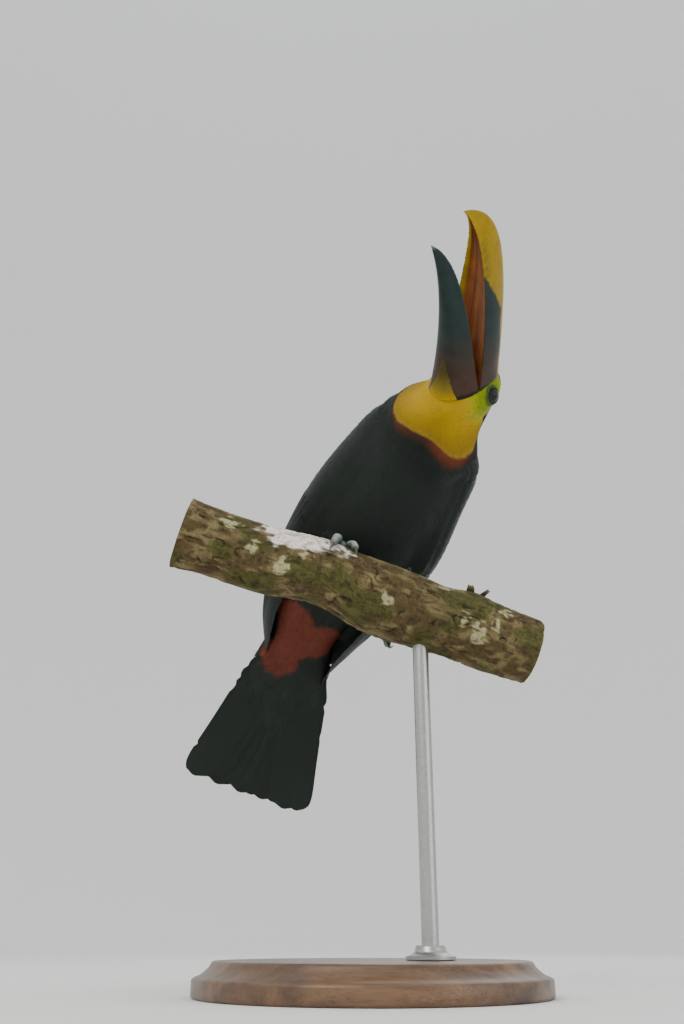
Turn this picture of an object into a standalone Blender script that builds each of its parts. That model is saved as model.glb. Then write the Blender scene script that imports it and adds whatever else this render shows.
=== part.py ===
"""A toucan with its bill open, perched across a cut branch on a plain display stand.

One object for each part of the bird, the branch and the stand. Metres, +Z up. The origin is the
centre of the stand base's underside, and the bird faces -Y with its left side towards +X.
"""

import math

import bmesh
import bpy
from mathutils import Vector

# ---- Driving dimensions, in metres and degrees ----------------------------------------------

GAP = 0.0003                      # between solids that meet
BILL_GAP = 0.00036                # between the slanting planes of the bill's base
WING_GAP = 0.0010                 # between the folded wings and the curved flanks they lie on

# Attitudes: heading away from -Y towards +X, pitch up, roll onto the bird's left side.
TAIL_ATTITUDE = (27.0, 43.0, 26.0)
TRUNK_ATTITUDE = (40.5, 38.5, 26.0)
HEAD_ATTITUDE = (2.0, 27.0, 54.0)

TAIL_ROOT = Vector((-0.0525, 0.1040, 0.2845))
GAPE = Vector((0.0719, -0.0831, 0.4268))   # midway between the two corners of the mouth
TAIL_LENGTH = 0.179
TRUNK_LENGTH = 0.178              # tail root to the base of the neck
NECK_START = 0.186                # stations along the spine, from the tail root
HEAD_START = 0.224

# Body stations: distance from the tail root, half width, back height, belly depth.
BODY_STATIONS = (
    (-0.179, 0.0665, 0.0012, 0.0012),
    (-0.120, 0.0535, 0.0015, 0.0016),
    (-0.075, 0.0430, 0.0026, 0.0034),
    (-0.045, 0.0360, 0.0060, 0.0085),
    (-0.020, 0.0310, 0.0120, 0.0165),
    (0.000, 0.0290, 0.0180, 0.0225),
    (0.029, 0.0360, 0.0280, 0.0310),
    (0.068, 0.0465, 0.0375, 0.0390),
    (0.108, 0.0505, 0.0420, 0.0430),
    (0.147, 0.0490, 0.0415, 0.0430),
    (0.176, 0.0450, 0.0380, 0.0420),
    (0.200, 0.0410, 0.0325, 0.0425),
    (0.220, 0.0418, 0.0245, 0.0425),
    (0.240, 0.0325, 0.0212, 0.0425),
    (0.256, 0.0250, 0.0346, 0.0372),
    (0.265, 0.0248, 0.0366, 0.0326),
    (0.274, 0.0196, 0.0335, 0.0277),
)
THROAT_PUFF = (0.234, 0.017, 0.0036)   # place, reach and depth of the puff towards the right side
TAIL_CAMBER = 0.0060
TAIL_END_ROUND = 0.0120

# Wing stations: distance from the tail root, half width and back height of the bed the wing lies
# on, angle of its upper and lower edges from the middle of the back, thickness.
WING_STATIONS = (
    (-0.034, 0.0310, 0.0190, 54.0, 80.0, 0.0014),
    (-0.015, 0.0355, 0.0225, 38.0, 92.0, 0.0024),
    (0.010, 0.0400, 0.0270, 26.0, 100.0, 0.0034),
    (0.040, 0.0455, 0.0330, 18.0, 108.0, 0.0046),
    (0.080, 0.0505, 0.0405, 14.0, 114.0, 0.0060),
    (0.120, 0.0528, 0.0435, 14.0, 116.0, 0.0072),
    (0.160, 0.0500, 0.0420, 20.0, 116.0, 0.0078),
    (0.190, 0.0460, 0.0382, 38.0, 110.0, 0.0066),
    (0.205, 0.0440, 0.0360, 56.0, 98.0, 0.0034),
)
WING_DROOP = {"left": 0.0085, "right": 0.0}  # how far each folded wing hangs off the flank

# Bill, in the head's frame: distance forward of the gape and height above it.
GAPE_ANGLE = 12.5
UPPER_BASE_SLANT = 0.0020         # the culmen's base stands this far forward of the gape
LOWER_BASE_SLANT = 0.0015         # and the chin's base this far
UPPER_DEPTH = 0.0325
LOWER_DEPTH = 0.0275
BILL_HALF_WIDTH = 0.0190
UPPER_TIP = (0.1370, -0.0200)
UPPER_TOMIUM = ((0.0, 0.0), (0.0800, 0.0), (0.1270, -0.0020), UPPER_TIP)
UPPER_CULMEN = ((UPPER_BASE_SLANT, UPPER_DEPTH), (0.0500, 0.0270), (0.1362, 0.0365), UPPER_TIP)
LOWER_TIP = (0.1265, -0.0185)
LOWER_TOMIUM = ((0.0, 0.0), (0.0500, 0.0), (0.1085, 0.0045), LOWER_TIP)
LOWER_KEEL = ((LOWER_BASE_SLANT, -LOWER_DEPTH), (0.0250, -0.0175), (0.0850, -0.0080), LOWER_TIP)
UPPER_NARROWING = (0.95, 1.9)     # share of the width lost by the tip, and how late it is lost
LOWER_NARROWING = (0.80, 1.0)
TIP_CLOSE = 0.985                 # where along its curves each tip is closed to a blunt point
PALATE_DEPTH = 0.0045
TROUGH_DEPTH = 0.0050
TONGUE_LENGTH = 0.0860

EYE_RADIUS = 0.0074
EYE_FORWARD = -0.0090             # the eye's centre, in the head's frame
EYE_UP = 0.0128
EYE_SIDE = 0.0177

# Perch
PERCH_MIDDLE = Vector((-0.0075, -0.0130, 0.2792))
PERCH_SLOPE = 15.8                # down towards +X
PERCH_HEADING = 11.2              # turned away from the viewer's side at +X
PERCH_LENGTH = 0.285
PERCH_RADIUS = 0.0262
PERCH_RISE = 0.0060               # the low bow in it under the right foot
PERCH_RISE_PLACE = -0.032

# Feet: place along the perch from its middle, angle of the palm round it from the top (positive
# towards -Y), station along the spine and side offset where the leg leaves the belly.
FEET = {
    "right": (-0.0215, -14.0, 0.098, -0.0220),
    "left": (0.0230, -79.0, 0.086, 0.0210),
}
# Toes: name, place beside the palm, length, thickness at the root, direction, spread.
TOES = (
    ("inner_front", 0.0035, 0.0270, 0.0033, 1, 0.0030),
    ("outer_front", -0.0045, 0.0360, 0.0036, 1, -0.0035),
    ("inner_hind", 0.0040, 0.0190, 0.0031, -1, 0.0050),
    ("outer_hind", -0.0040, 0.0320, 0.0034, -1, -0.0060),
)
CLAW_LENGTH = 0.0110
TARSUS_RADIUS = 0.0036
PALM_HEIGHT = 0.0085              # from the palm's centre to the joint with the tarsus
THIGH_REACH = 0.0060              # how far the thigh's feathers cover the tarsus below the belly
THIGH_SINK = 0.0120               # how far the thigh runs into the belly before it is trimmed
THIGH_RADII = (0.0050, 0.0150)    # at the tarsus and inside the belly

# Stand
BASE_RADIUS = 0.120
BASE_HEIGHT = 0.022
ROD_RADIUS = 0.006
ROD_PLACE = 0.050                 # along the perch from its middle
ROD_SOCKET = 0.015                # depth of the blind hole in the perch
BASE_SOCKET = 0.012               # and of the one in the base
COLLAR_RADIUS = 0.017
COLLAR_HEIGHT = 0.009

# ---- A clean scene and the finishes ----------------------------------------------------------

for old in list(bpy.data.objects):
    bpy.data.objects.remove(old, do_unlink=True)


def finish(name, colour, roughness, metallic=0.0):
    """A Principled material of one colour."""
    material = bpy.data.materials.new(name)
    material.use_nodes = True
    shader = material.node_tree.nodes["Principled BSDF"]
    shader.inputs["Base Color"].default_value = (*colour, 1.0)
    shader.inputs["Roughness"].default_value = roughness
    shader.inputs["Metallic"].default_value = metallic
    material.diffuse_color = (*colour, 1.0)
    return material


BLACK_PLUMAGE = finish("black_plumage", (0.012, 0.016, 0.017), 0.55)
YELLOW_PLUMAGE = finish("yellow_plumage", (0.75, 0.50, 0.06), 0.8)
BARE_FACE = finish("bare_face", (0.42, 0.52, 0.06), 0.5)
UPPER_HORN = finish("upper_horn", (0.72, 0.50, 0.03), 0.35)
LOWER_HORN = finish("lower_horn", (0.04, 0.03, 0.03), 0.35)
MOUTH_FLESH = finish("mouth_flesh", (0.35, 0.08, 0.03), 0.5)
EYE_GLOSS = finish("eye_gloss", (0.02, 0.012, 0.008), 0.05)
LEG_SCALE = finish("leg_scale", (0.20, 0.30, 0.36), 0.5)
BARK = finish("bark", (0.16, 0.12, 0.07), 0.9)
STAND_WOOD = finish("stand_wood", (0.10, 0.05, 0.025), 0.4)
STAND_STEEL = finish("stand_steel", (0.55, 0.55, 0.56), 0.3, 1.0)

# ---- Geometry shared by the parts ------------------------------------------------------------


def attitude(heading, pitch, roll):
    """Forward, left and back directions of a part of the bird."""
    heading, pitch, roll = (math.radians(angle) for angle in (heading, pitch, roll))
    forward = Vector((
        math.sin(heading) * math.cos(pitch),
        -math.cos(heading) * math.cos(pitch),
        math.sin(pitch),
    ))
    level_left = Vector((math.cos(heading), math.sin(heading), 0.0))
    level_back = forward.cross(level_left)
    left = level_left * math.cos(roll) - level_back * math.sin(roll)
    back = level_back * math.cos(roll) + level_left * math.sin(roll)
    return forward, left, back


def read_table(table, place):
    """The values of a station table at a place, on a smooth curve through its rows."""
    last = len(table) - 1
    place = min(max(place, table[0][0]), table[last][0])
    row = max(i for i in range(last) if table[i][0] <= place or i == 0)
    before, start, end, after = (table[min(max(row + k, 0), last)] for k in (-1, 0, 1, 2))
    span = end[0] - start[0]
    t = (place - start[0]) / span
    values = []
    for column in range(1, len(start)):
        slope_in = (end[column] - before[column]) / max(end[0] - before[0], 1e-9) * span
        slope_out = (after[column] - start[column]) / max(after[0] - start[0], 1e-9) * span
        values.append(
            start[column] * (2 * t**3 - 3 * t**2 + 1)
            + slope_in * (t**3 - 2 * t**2 + t)
            + end[column] * (3 * t**2 - 2 * t**3)
            + slope_out * (t**3 - t**2)
        )
    return values


def hermite(start, start_way, end, end_way, t):
    """A point of the curve that leaves and arrives along the given ways."""
    reach = (end - start).length
    return (
        start * (2 * t**3 - 3 * t**2 + 1)
        + start_way * reach * (t**3 - 2 * t**2 + t)
        + end * (3 * t**2 - 2 * t**3)
        + end_way * reach * (t**3 - t**2)
    )


def bezier(points, t):
    """A point of a cubic curve in the plane of the bill."""
    weights = ((1 - t) ** 3, 3 * (1 - t) ** 2 * t, 3 * (1 - t) * t**2, t**3)
    return tuple(sum(w * p[axis] for w, p in zip(weights, points)) for axis in (0, 1))


def blend(start, end, place):
    """0 before start, 1 after end, and a smooth rise between them."""
    t = min(max((place - start) / (end - start), 0.0), 1.0)
    return t * t * (3 - 2 * t)


def spaced(start, end, count):
    """Evenly spaced numbers, both ends included."""
    return [start + (end - start) * i / (count - 1) for i in range(count)]


def new_object(name, bm, material, smooth_angle=40.0):
    """A named object from a closed bmesh, with its faces turned outwards."""
    bmesh.ops.recalc_face_normals(bm, faces=bm.faces)
    mesh = bpy.data.meshes.new(name)
    bm.to_mesh(mesh)
    bm.free()
    mesh.shade_smooth()
    mesh.set_sharp_from_angle(angle=math.radians(smooth_angle))
    mesh.materials.append(material)
    part = bpy.data.objects.new(name, mesh)
    bpy.context.scene.collection.objects.link(part)
    return part


def loft(name, rings, material, start_point=None, end_point=None):
    """A closed body through rings of equal counts, each end closed by a fan to one point."""
    bm = bmesh.new()
    loops = [[bm.verts.new(point) for point in ring] for ring in rings]
    for near, far in zip(loops, loops[1:]):
        for i, corner in enumerate(near):
            j = (i + 1) % len(near)
            bm.faces.new((corner, near[j], far[j], far[i]))
    for loop, point in ((loops[0], start_point), (loops[-1], end_point)):
        if point is None:
            point = sum((v.co for v in loop), Vector()) / len(loop)
        hub = bm.verts.new(point)
        for i, corner in enumerate(loop):
            bm.faces.new((corner, loop[(i + 1) % len(loop)], hub))
    return new_object(name, bm, material)


def tube(name, points, radii, material, sides=10, flat=1.0):
    """A closed tube along points; flat squeezes it across its second direction."""
    rings = []
    across = None
    for i, point in enumerate(points):
        way = (points[min(i + 1, len(points) - 1)] - points[max(i - 1, 0)]).normalized()
        across = way.orthogonal() if across is None else across - way * across.dot(way)
        across.normalize()
        other = way.cross(across)
        ring = []
        for k in range(sides):
            angle = 2 * math.pi * k / sides
            ring.append(
                point
                + across * radii[i] * math.cos(angle)
                + other * radii[i] * flat * math.sin(angle)
            )
        rings.append(ring)
    return loft(name, rings, material)


def cutter(part):
    """Mark a guide body that only shapes other bodies."""
    part.hide_render = True
    part.display_type = "WIRE"
    return part


def cut(part, tool, operation="DIFFERENCE"):
    """A live Boolean on a part."""
    modifier = part.modifiers.new(tool.name, "BOOLEAN")
    modifier.operation = operation
    modifier.object = tool
    modifier.solver = "EXACT"


# ---- The spine that the body is carried along ------------------------------------------------

TAIL_WAY, _, TAIL_BACK = attitude(*TAIL_ATTITUDE)
TRUNK_WAY, _, TRUNK_BACK = attitude(*TRUNK_ATTITUDE)
HEAD_WAY, HEAD_LEFT, HEAD_BACK = attitude(*HEAD_ATTITUDE)

TAIL_TIP = TAIL_ROOT - TAIL_WAY * TAIL_LENGTH
NECK_ROOT = TAIL_ROOT + TRUNK_WAY * TRUNK_LENGTH
SPINE_STEPS = 60


def make_spine():
    """Points along the spine and their distances from the tail root."""
    points = [TAIL_TIP.lerp(TAIL_ROOT, i / SPINE_STEPS) for i in range(SPINE_STEPS)]
    for start, way_in, end, way_out in (
        (TAIL_ROOT, TAIL_WAY, NECK_ROOT, TRUNK_WAY),
        (NECK_ROOT, TRUNK_WAY, GAPE, HEAD_WAY),
    ):
        for i in range(SPINE_STEPS):
            points.append(hermite(start, way_in, end, way_out, i / SPINE_STEPS))
    points.append(GAPE.copy())
    places = [-TAIL_LENGTH]
    for a, b in zip(points, points[1:]):
        places.append(places[-1] + (b - a).length)
    return points, places


SPINE_POINTS, SPINE_PLACES = make_spine()
SPINE_END = SPINE_PLACES[-1]
SPINE_WAYS = [
    (SPINE_POINTS[min(i + 1, len(SPINE_POINTS) - 1)] - SPINE_POINTS[max(i - 1, 0)]).normalized()
    for i in range(len(SPINE_POINTS))
]
SPINE_WAYS[-1] = HEAD_WAY


def spine(place):
    """Point, way forward, left and back directions of the spine at a place."""
    place = min(max(place, SPINE_PLACES[0]), SPINE_END)
    i = max(k for k in range(len(SPINE_PLACES) - 1) if SPINE_PLACES[k] <= place or k == 0)
    t = (place - SPINE_PLACES[i]) / (SPINE_PLACES[i + 1] - SPINE_PLACES[i])
    point = SPINE_POINTS[i].lerp(SPINE_POINTS[i + 1], t)
    way = SPINE_WAYS[i].lerp(SPINE_WAYS[i + 1], t).normalized()
    back = TAIL_BACK.lerp(TRUNK_BACK, blend(-0.02, 0.06, place))
    back = back.lerp(HEAD_BACK, blend(TRUNK_LENGTH - 0.02, SPINE_END - 0.01, place))
    back = (back - way * back.dot(way)).normalized()
    return point, way, back.cross(way), back


def oval(angle, half_width, above, below):
    """Side and height of a ring point; the angle runs from the back towards the left."""
    side = math.sin(angle) * half_width
    height = math.cos(angle) * (above if math.cos(angle) > 0 else below)
    return side, height


def body_ring(place, sides, swell=0.0, lean=0.0, camber=0.0, sweep=0.0):
    """One ring of the body, moved aside where the throat puffs out: lean tips it to the planes of
    the bill's base, camber and sweep curve the tail across and along."""
    point, way, left, back = spine(place)
    puff_place, puff_reach, puff_depth = THROAT_PUFF
    point = point - left * puff_depth * math.exp(-((place - puff_place) / puff_reach) ** 2)
    half_width, above, below = read_table(BODY_STATIONS, place)
    ring = []
    for k in range(sides):
        angle = 2 * math.pi * k / sides
        side, height = oval(angle, half_width + swell, above + swell, below + swell)
        slope = UPPER_BASE_SLANT / UPPER_DEPTH
        if height < 0:
            slope = math.tan(math.radians(GAPE_ANGLE) - math.atan(LOWER_BASE_SLANT / LOWER_DEPTH))
        outward = side / half_width
        ring.append(
            point
            + left * side
            + back * (height - camber * outward**2)
            + way * (lean * slope * height + sweep * outward**2)
        )
    return ring


# ---- Tail, trunk, neck and head --------------------------------------------------------------

BODY_SIDES = 24


def make_tail():
    """The closed fan with the coverts that thicken its root."""
    rings = []
    for place in spaced(-TAIL_LENGTH, -GAP, 10):
        out = blend(-0.03, -TAIL_LENGTH, place)
        rings.append(body_ring(
            place, BODY_SIDES, camber=TAIL_CAMBER * out, sweep=TAIL_END_ROUND * out**4,
        ))
    return loft("tail", rings, BLACK_PLUMAGE)


def make_trunk():
    """Rump, belly and breast, from the tail root to the base of the neck."""
    rings = [body_ring(place, BODY_SIDES) for place in spaced(0.0, NECK_START, 16)]
    return loft("trunk", rings, BLACK_PLUMAGE)


def make_neck():
    """The thick feathered neck with the bib."""
    rings = [body_ring(place, BODY_SIDES) for place in spaced(NECK_START + GAP, HEAD_START, 7)]
    return loft("neck", rings, YELLOW_PLUMAGE)


def make_head():
    """Crown, cheeks and chin, ending in the two planes that the mandibles stand on."""
    rings = []
    for place in spaced(HEAD_START + GAP, SPINE_END, 9):
        rings.append(body_ring(place, BODY_SIDES, lean=blend(HEAD_START, SPINE_END, place)))
    return loft("head", rings, BARE_FACE, end_point=GAPE)


tail = make_tail()
trunk = make_trunk()
neck = make_neck()
head = make_head()


def in_head(forward, side, up):
    """A point given in the head's frame."""
    return GAPE + HEAD_WAY * forward + HEAD_LEFT * side + HEAD_BACK * up


# ---- Bill and tongue -------------------------------------------------------------------------


def mandible_ring(tomium, ridge, half_width, hollow, gap, opened):
    """A ring from one tomium over the ridge to the other and back along the hollow mouth side."""
    outer, inner = 14, 8
    swing = math.radians(opened)
    ring = []
    for k in range(outer + 1):
        angle = math.pi * k / outer
        side = math.cos(angle) * half_width
        rise = math.sin(angle)
        ring.append((
            tomium[0] + (ridge[0] - tomium[0]) * rise,
            side,
            tomium[1] + (ridge[1] - tomium[1]) * rise + gap,
        ))
    for k in range(1, inner):
        side = -half_width + 2 * half_width * k / inner
        rise = hollow * (1 - (side / half_width) ** 2)
        ring.append((
            tomium[0] + (ridge[0] - tomium[0]) * rise,
            side,
            tomium[1] + (ridge[1] - tomium[1]) * rise + gap,
        ))
    return [
        in_head(
            x * math.cos(swing) + z * math.sin(swing),
            side,
            z * math.cos(swing) - x * math.sin(swing),
        )
        for x, side, z in ring
    ]


def make_mandible(name, tomium, ridge, hollow_depth, narrowing, opened, sign, material):
    """One half of the bill, from its base plane to its tip.

    The half width is BILL_HALF_WIDTH * (1 - a * x^b) * sqrt(1 - x^7), with x the share of the
    tomium's reach: a steady taper that rounds off at the tip.
    """
    rings = []
    for t in spaced(0.0, TIP_CLOSE, 16):
        edge = bezier(tomium, t)
        crest = bezier(ridge, t)
        depth = math.dist(edge, crest)
        out = edge[0] / tomium[3][0]
        half_width = BILL_HALF_WIDTH * (1 - narrowing[0] * out ** narrowing[1])
        half_width *= math.sqrt(1 - out**7)
        hollow = min(hollow_depth / depth, 0.4) * (1 - t**3)
        rings.append(mandible_ring(
            (edge[0] + BILL_GAP, edge[1]), (crest[0] + BILL_GAP, crest[1]),
            half_width, hollow, sign * GAP, opened,
        ))
    return loft(name, rings, material)


upper_mandible = make_mandible(
    "upper_mandible", UPPER_TOMIUM, UPPER_CULMEN, PALATE_DEPTH, UPPER_NARROWING, 0.0, 1, UPPER_HORN)
lower_mandible = make_mandible(
    "lower_mandible", LOWER_TOMIUM, LOWER_KEEL, TROUGH_DEPTH, LOWER_NARROWING, GAPE_ANGLE, -1,
    LOWER_HORN)


def make_tongue():
    """The long flat tongue that lies in the lower mandible."""
    swing = math.radians(GAPE_ANGLE)
    rings = []
    for t in spaced(0.0, 1.0, 10):
        x = 0.004 + TONGUE_LENGTH * t
        half_width = 0.0040 * (1 - 0.75 * t)
        thickness = 0.0012 * (1 - 0.45 * t)
        z = -0.0024 + 0.0020 * t - 0.0032 * t**3
        ring = []
        for k in range(8):
            angle = 2 * math.pi * k / 8
            side = half_width * math.cos(angle)
            high = z + thickness * math.sin(angle)
            ring.append(in_head(
                x * math.cos(swing) + high * math.sin(swing),
                side,
                high * math.cos(swing) - x * math.sin(swing),
            ))
        rings.append(ring)
    return loft("tongue", rings, MOUTH_FLESH)


make_tongue()

# ---- Eyes ------------------------------------------------------------------------------------


def make_ball(name, centre, radius, material):
    """A round body."""
    bm = bmesh.new()
    bmesh.ops.create_uvsphere(bm, u_segments=14, v_segments=9, radius=radius)
    ball = new_object(name, bm, material, smooth_angle=180.0)
    ball.location = centre
    ball.rotation_euler = HEAD_LEFT.to_track_quat("Z", "Y").to_euler()
    return ball


for word, sign in (("left", 1), ("right", -1)):
    centre = in_head(EYE_FORWARD, sign * EYE_SIDE, EYE_UP)
    make_ball(f"eye_{word}", centre, EYE_RADIUS, EYE_GLOSS)
    cut(head, cutter(make_ball(f"socket_{word}", centre, EYE_RADIUS + 2 * GAP, BARE_FACE)))

# ---- Wings -----------------------------------------------------------------------------------


def wing_ring(place, sign, droop):
    """A ring of a folded wing: its outer side from the upper edge down, then its inner side."""
    point, way, left, back = spine(place)
    half_width, above, top, bottom, thickness = read_table(WING_STATIONS, place)
    half_width += droop * blend(TRUNK_LENGTH, TRUNK_LENGTH * 0.6, place)
    steps = 10
    outer = []
    inner = []
    for k in range(steps + 1):
        t = k / steps
        angle = math.radians(top + (bottom - top) * t)
        side, height = oval(angle, half_width, above, half_width * 0.85)
        foot = Vector((side, height))
        outward = Vector((side / half_width, height / above)).normalized()
        crown = 0.0008 + thickness * (1 - abs(2 * t - 1) ** 2.6) ** 0.6
        for row, lift in ((inner, WING_GAP), (outer, WING_GAP + crown)):
            spot = foot + outward * lift
            row.append(point + left * spot.x * sign + back * spot.y)
    return outer + inner[::-1]


for word, sign in (("left", 1), ("right", -1)):
    places = spaced(WING_STATIONS[0][0], WING_STATIONS[-1][0], 15)
    rings = [wing_ring(place, sign, WING_DROOP[word]) for place in places]
    loft(f"wing_{word}", rings, BLACK_PLUMAGE)

# ---- Perch -----------------------------------------------------------------------------------

PERCH_WAY = Vector((
    math.cos(math.radians(PERCH_SLOPE)) * math.cos(math.radians(PERCH_HEADING)),
    math.cos(math.radians(PERCH_SLOPE)) * math.sin(math.radians(PERCH_HEADING)),
    -math.sin(math.radians(PERCH_SLOPE)),
))
PERCH_UP = (Vector((0, 0, 1)) - PERCH_WAY * PERCH_WAY.z).normalized()
PERCH_FRONT = PERCH_WAY.cross(PERCH_UP)


def bark_radius(along, angle):
    """Radius of the branch: a slow swell along it, shallow flutes and one old knot."""
    swell = 0.0012 * math.sin(along * 31.0 + 0.6) + 0.0008 * math.sin(along * 67.0)
    flutes = 0.0005 * math.cos(3 * angle + along * 20.0) + 0.0003 * math.cos(5 * angle - along * 35.0)
    knot_reach = ((along - 0.088) / 0.016) ** 2 + (math.remainder(angle - 0.35, math.tau) / 0.55) ** 2
    return PERCH_RADIUS + swell + flutes + 0.0035 * math.exp(-knot_reach)


def on_bark(along, angle, lift):
    """A point at a height over the bark; the angle runs from the top towards -Y."""
    reach = bark_radius(along, angle) + lift
    outward = PERCH_UP * math.cos(angle) + PERCH_FRONT * math.sin(angle)
    rise = PERCH_RISE * math.exp(-(((along - PERCH_RISE_PLACE) / 0.032) ** 2))
    return PERCH_MIDDLE + PERCH_WAY * along + PERCH_UP * rise + outward * reach


def make_perch():
    """A short cut length of the branch."""
    rings = []
    for along in spaced(-PERCH_LENGTH / 2, PERCH_LENGTH / 2, 18):
        rings.append([on_bark(along, 2 * math.pi * k / 20, 0.0) for k in range(20)])
    return loft("perch", rings, BARK)


perch = make_perch()

# ---- Feet and legs ---------------------------------------------------------------------------


def make_toe(name, along, palm, offset, length, thickness, direction, spread, material):
    """A toe that lies round the branch, with its claw: joints swell it, the claw narrows it."""
    points = []
    radii = []
    total = length + CLAW_LENGTH
    steps = 12
    for k in range(steps + 1):
        reach = total * k / steps
        toe = min(reach / length, 1.0)
        claw = max(reach - length, 0.0) / CLAW_LENGTH
        radius = thickness * (1 - 0.25 * toe) * (1 + 0.07 * math.cos(toe * 6 * math.pi))
        radius *= 1 if claw == 0 else 0.72 * (1 - 0.85 * claw**1.2)
        lift = radius + 3 * GAP + 0.0022 * math.sin(math.pi * claw) * (claw > 0)
        angle = palm + direction * reach / (PERCH_RADIUS + thickness)
        points.append(on_bark(along + offset + spread * reach / total * 2, angle, lift))
        radii.append(radius)
    return tube(name, points, radii, material, sides=6)


def make_foot(word, along, palm_angle, station, side_offset):
    """Four toes, two before and two behind, joined at the palm, with the tarsus above it."""
    sign = 1 if word == "left" else -1
    palm = math.radians(palm_angle)
    palm_point = on_bark(along, palm, 0.0050)
    middle, way, left, back = spine(station)
    belly = read_table(BODY_STATIONS, station)[2]
    hip = middle + left * side_offset - back * belly * 0.93
    leg = (hip - palm_point).normalized()

    stub = [palm_point - leg * 0.0030, palm_point, palm_point + leg * PALM_HEIGHT]
    foot = tube(f"foot_{word}", stub, (0.0030, 0.0046, 0.0040), LEG_SCALE, sides=8)
    for name, offset, length, thickness, direction, spread in TOES:
        toe = make_toe(
            f"{name}_{word}", along, palm, -sign * offset, length, thickness, direction,
            -sign * spread, LEG_SCALE,
        )
        cut(foot, cutter(toe), "UNION")

    tarsus_start = palm_point + leg * (PALM_HEIGHT + GAP)
    tarsus_end = hip - leg * THIGH_REACH
    points = [tarsus_start.lerp(tarsus_end, t) for t in spaced(0.0, 1.0, 4)]
    radii = [TARSUS_RADIUS * (1 + 0.12 * (2 * t - 1) ** 2) for t in spaced(0.0, 1.0, 4)]
    tube(f"tarsus_{word}", points, radii, LEG_SCALE, sides=10, flat=0.85)

    thigh_start = tarsus_end + leg * GAP
    thigh_end = hip + leg * THIGH_SINK
    points = [thigh_start.lerp(thigh_end, t) for t in spaced(0.0, 1.0, 6)]
    low, high = THIGH_RADII
    radii = [low + (high - low) * math.sin(0.5 * math.pi * t) for t in spaced(0.0, 1.0, 6)]
    return tube(f"thigh_{word}", points, radii, BLACK_PLUMAGE, sides=12)


def trunk_clearance():
    """The trunk grown by a gap, which trims whatever grows out of it."""
    rings = [body_ring(place, BODY_SIDES, swell=2 * GAP) for place in spaced(0.0, NECK_START, 16)]
    return cutter(loft("trunk_clearance", rings, BLACK_PLUMAGE))


clearance = trunk_clearance()
for word, numbers in FEET.items():
    cut(make_foot(word, *numbers), clearance)

# ---- Stand -----------------------------------------------------------------------------------


def make_turned(name, profile, material, steps=40):
    """A body of revolution about +Z from radius and height pairs, bottom to top."""
    rings = []
    for radius, height in profile:
        angles = (2 * math.pi * k / steps for k in range(steps))
        rings.append([Vector((radius * math.cos(a), radius * math.sin(a), height)) for a in angles])
    return loft(name, rings, material)


def make_rod_body(name, low, high, radius, sides=24):
    """An upright round bar between two heights, under the perch's socket."""
    place = PERCH_MIDDLE + PERCH_WAY * ROD_PLACE
    bm = bmesh.new()
    bmesh.ops.create_cone(
        bm, cap_ends=True, segments=sides, radius1=radius, radius2=radius, depth=high - low)
    bar = new_object(name, bm, STAND_STEEL)
    bar.location = (place.x, place.y, (low + high) / 2)
    return bar


socket_floor = (PERCH_MIDDLE + PERCH_WAY * ROD_PLACE).z - PERCH_RADIUS + ROD_SOCKET
base_socket_floor = BASE_HEIGHT - BASE_SOCKET
stand_base = make_turned("stand_base", (
    (BASE_RADIUS - 0.002, 0.0),
    (BASE_RADIUS, 0.002),
    (BASE_RADIUS, 0.010),
    (BASE_RADIUS - 0.003, 0.0135),
    (BASE_RADIUS - 0.010, 0.0165),
    (BASE_RADIUS - 0.0135, BASE_HEIGHT),
), STAND_WOOD)
stand_rod = make_rod_body("stand_rod", base_socket_floor + GAP, socket_floor - GAP, ROD_RADIUS)
stand_collar = make_turned("stand_collar", (
    (COLLAR_RADIUS, 0.0),
    (COLLAR_RADIUS, 0.0025),
    (COLLAR_RADIUS * 0.78, 0.0038),
    (COLLAR_RADIUS * 0.62, 0.0065),
    (COLLAR_RADIUS * 0.58, COLLAR_HEIGHT),
), STAND_STEEL, steps=24)
stand_collar.location = (stand_rod.location.x, stand_rod.location.y, BASE_HEIGHT + GAP)

perch_hole = cutter(make_rod_body(
    "perch_hole", BASE_HEIGHT, socket_floor, ROD_RADIUS + GAP))
base_hole = cutter(make_rod_body(
    "base_hole", base_socket_floor, BASE_HEIGHT + 0.02, ROD_RADIUS + GAP))
cut(perch, perch_hole)
cut(stand_base, base_hole)
cut(stand_collar, base_hole)
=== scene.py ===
"""A toucan calling from a cut branch on a turned wooden stand, life size, as a museum shows it.

Metres, +Z up, in the frame's own axes: the origin is the middle of the base's underside, the bird
faces -Y and its left side is towards +X. A place along the bird is a distance along its spine
from the root of the tail towards the bill, and an angle round it starts at the middle of the back
and runs towards the bird's left side.
"""

import math

import bpy
import numpy as np
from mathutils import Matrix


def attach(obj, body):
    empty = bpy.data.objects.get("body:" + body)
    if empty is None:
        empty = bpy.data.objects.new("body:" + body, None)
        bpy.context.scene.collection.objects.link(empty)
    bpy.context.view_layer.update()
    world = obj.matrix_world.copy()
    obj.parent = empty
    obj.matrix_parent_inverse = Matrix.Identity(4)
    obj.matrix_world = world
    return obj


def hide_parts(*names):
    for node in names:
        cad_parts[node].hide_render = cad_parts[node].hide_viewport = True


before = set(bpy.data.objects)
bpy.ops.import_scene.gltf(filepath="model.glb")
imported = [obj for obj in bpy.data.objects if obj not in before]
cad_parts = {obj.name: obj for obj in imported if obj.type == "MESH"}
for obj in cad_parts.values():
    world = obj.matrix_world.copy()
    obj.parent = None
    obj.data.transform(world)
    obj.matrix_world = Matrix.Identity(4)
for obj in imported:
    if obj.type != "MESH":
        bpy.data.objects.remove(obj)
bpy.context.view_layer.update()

# ---- Camera ---------------------------------------------------------------------------------
# It stands low in front of the stand, just over the floor, and looks up at the calling bird. The
# long side of the view takes in the bill's tip and the edge of the base.

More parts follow.
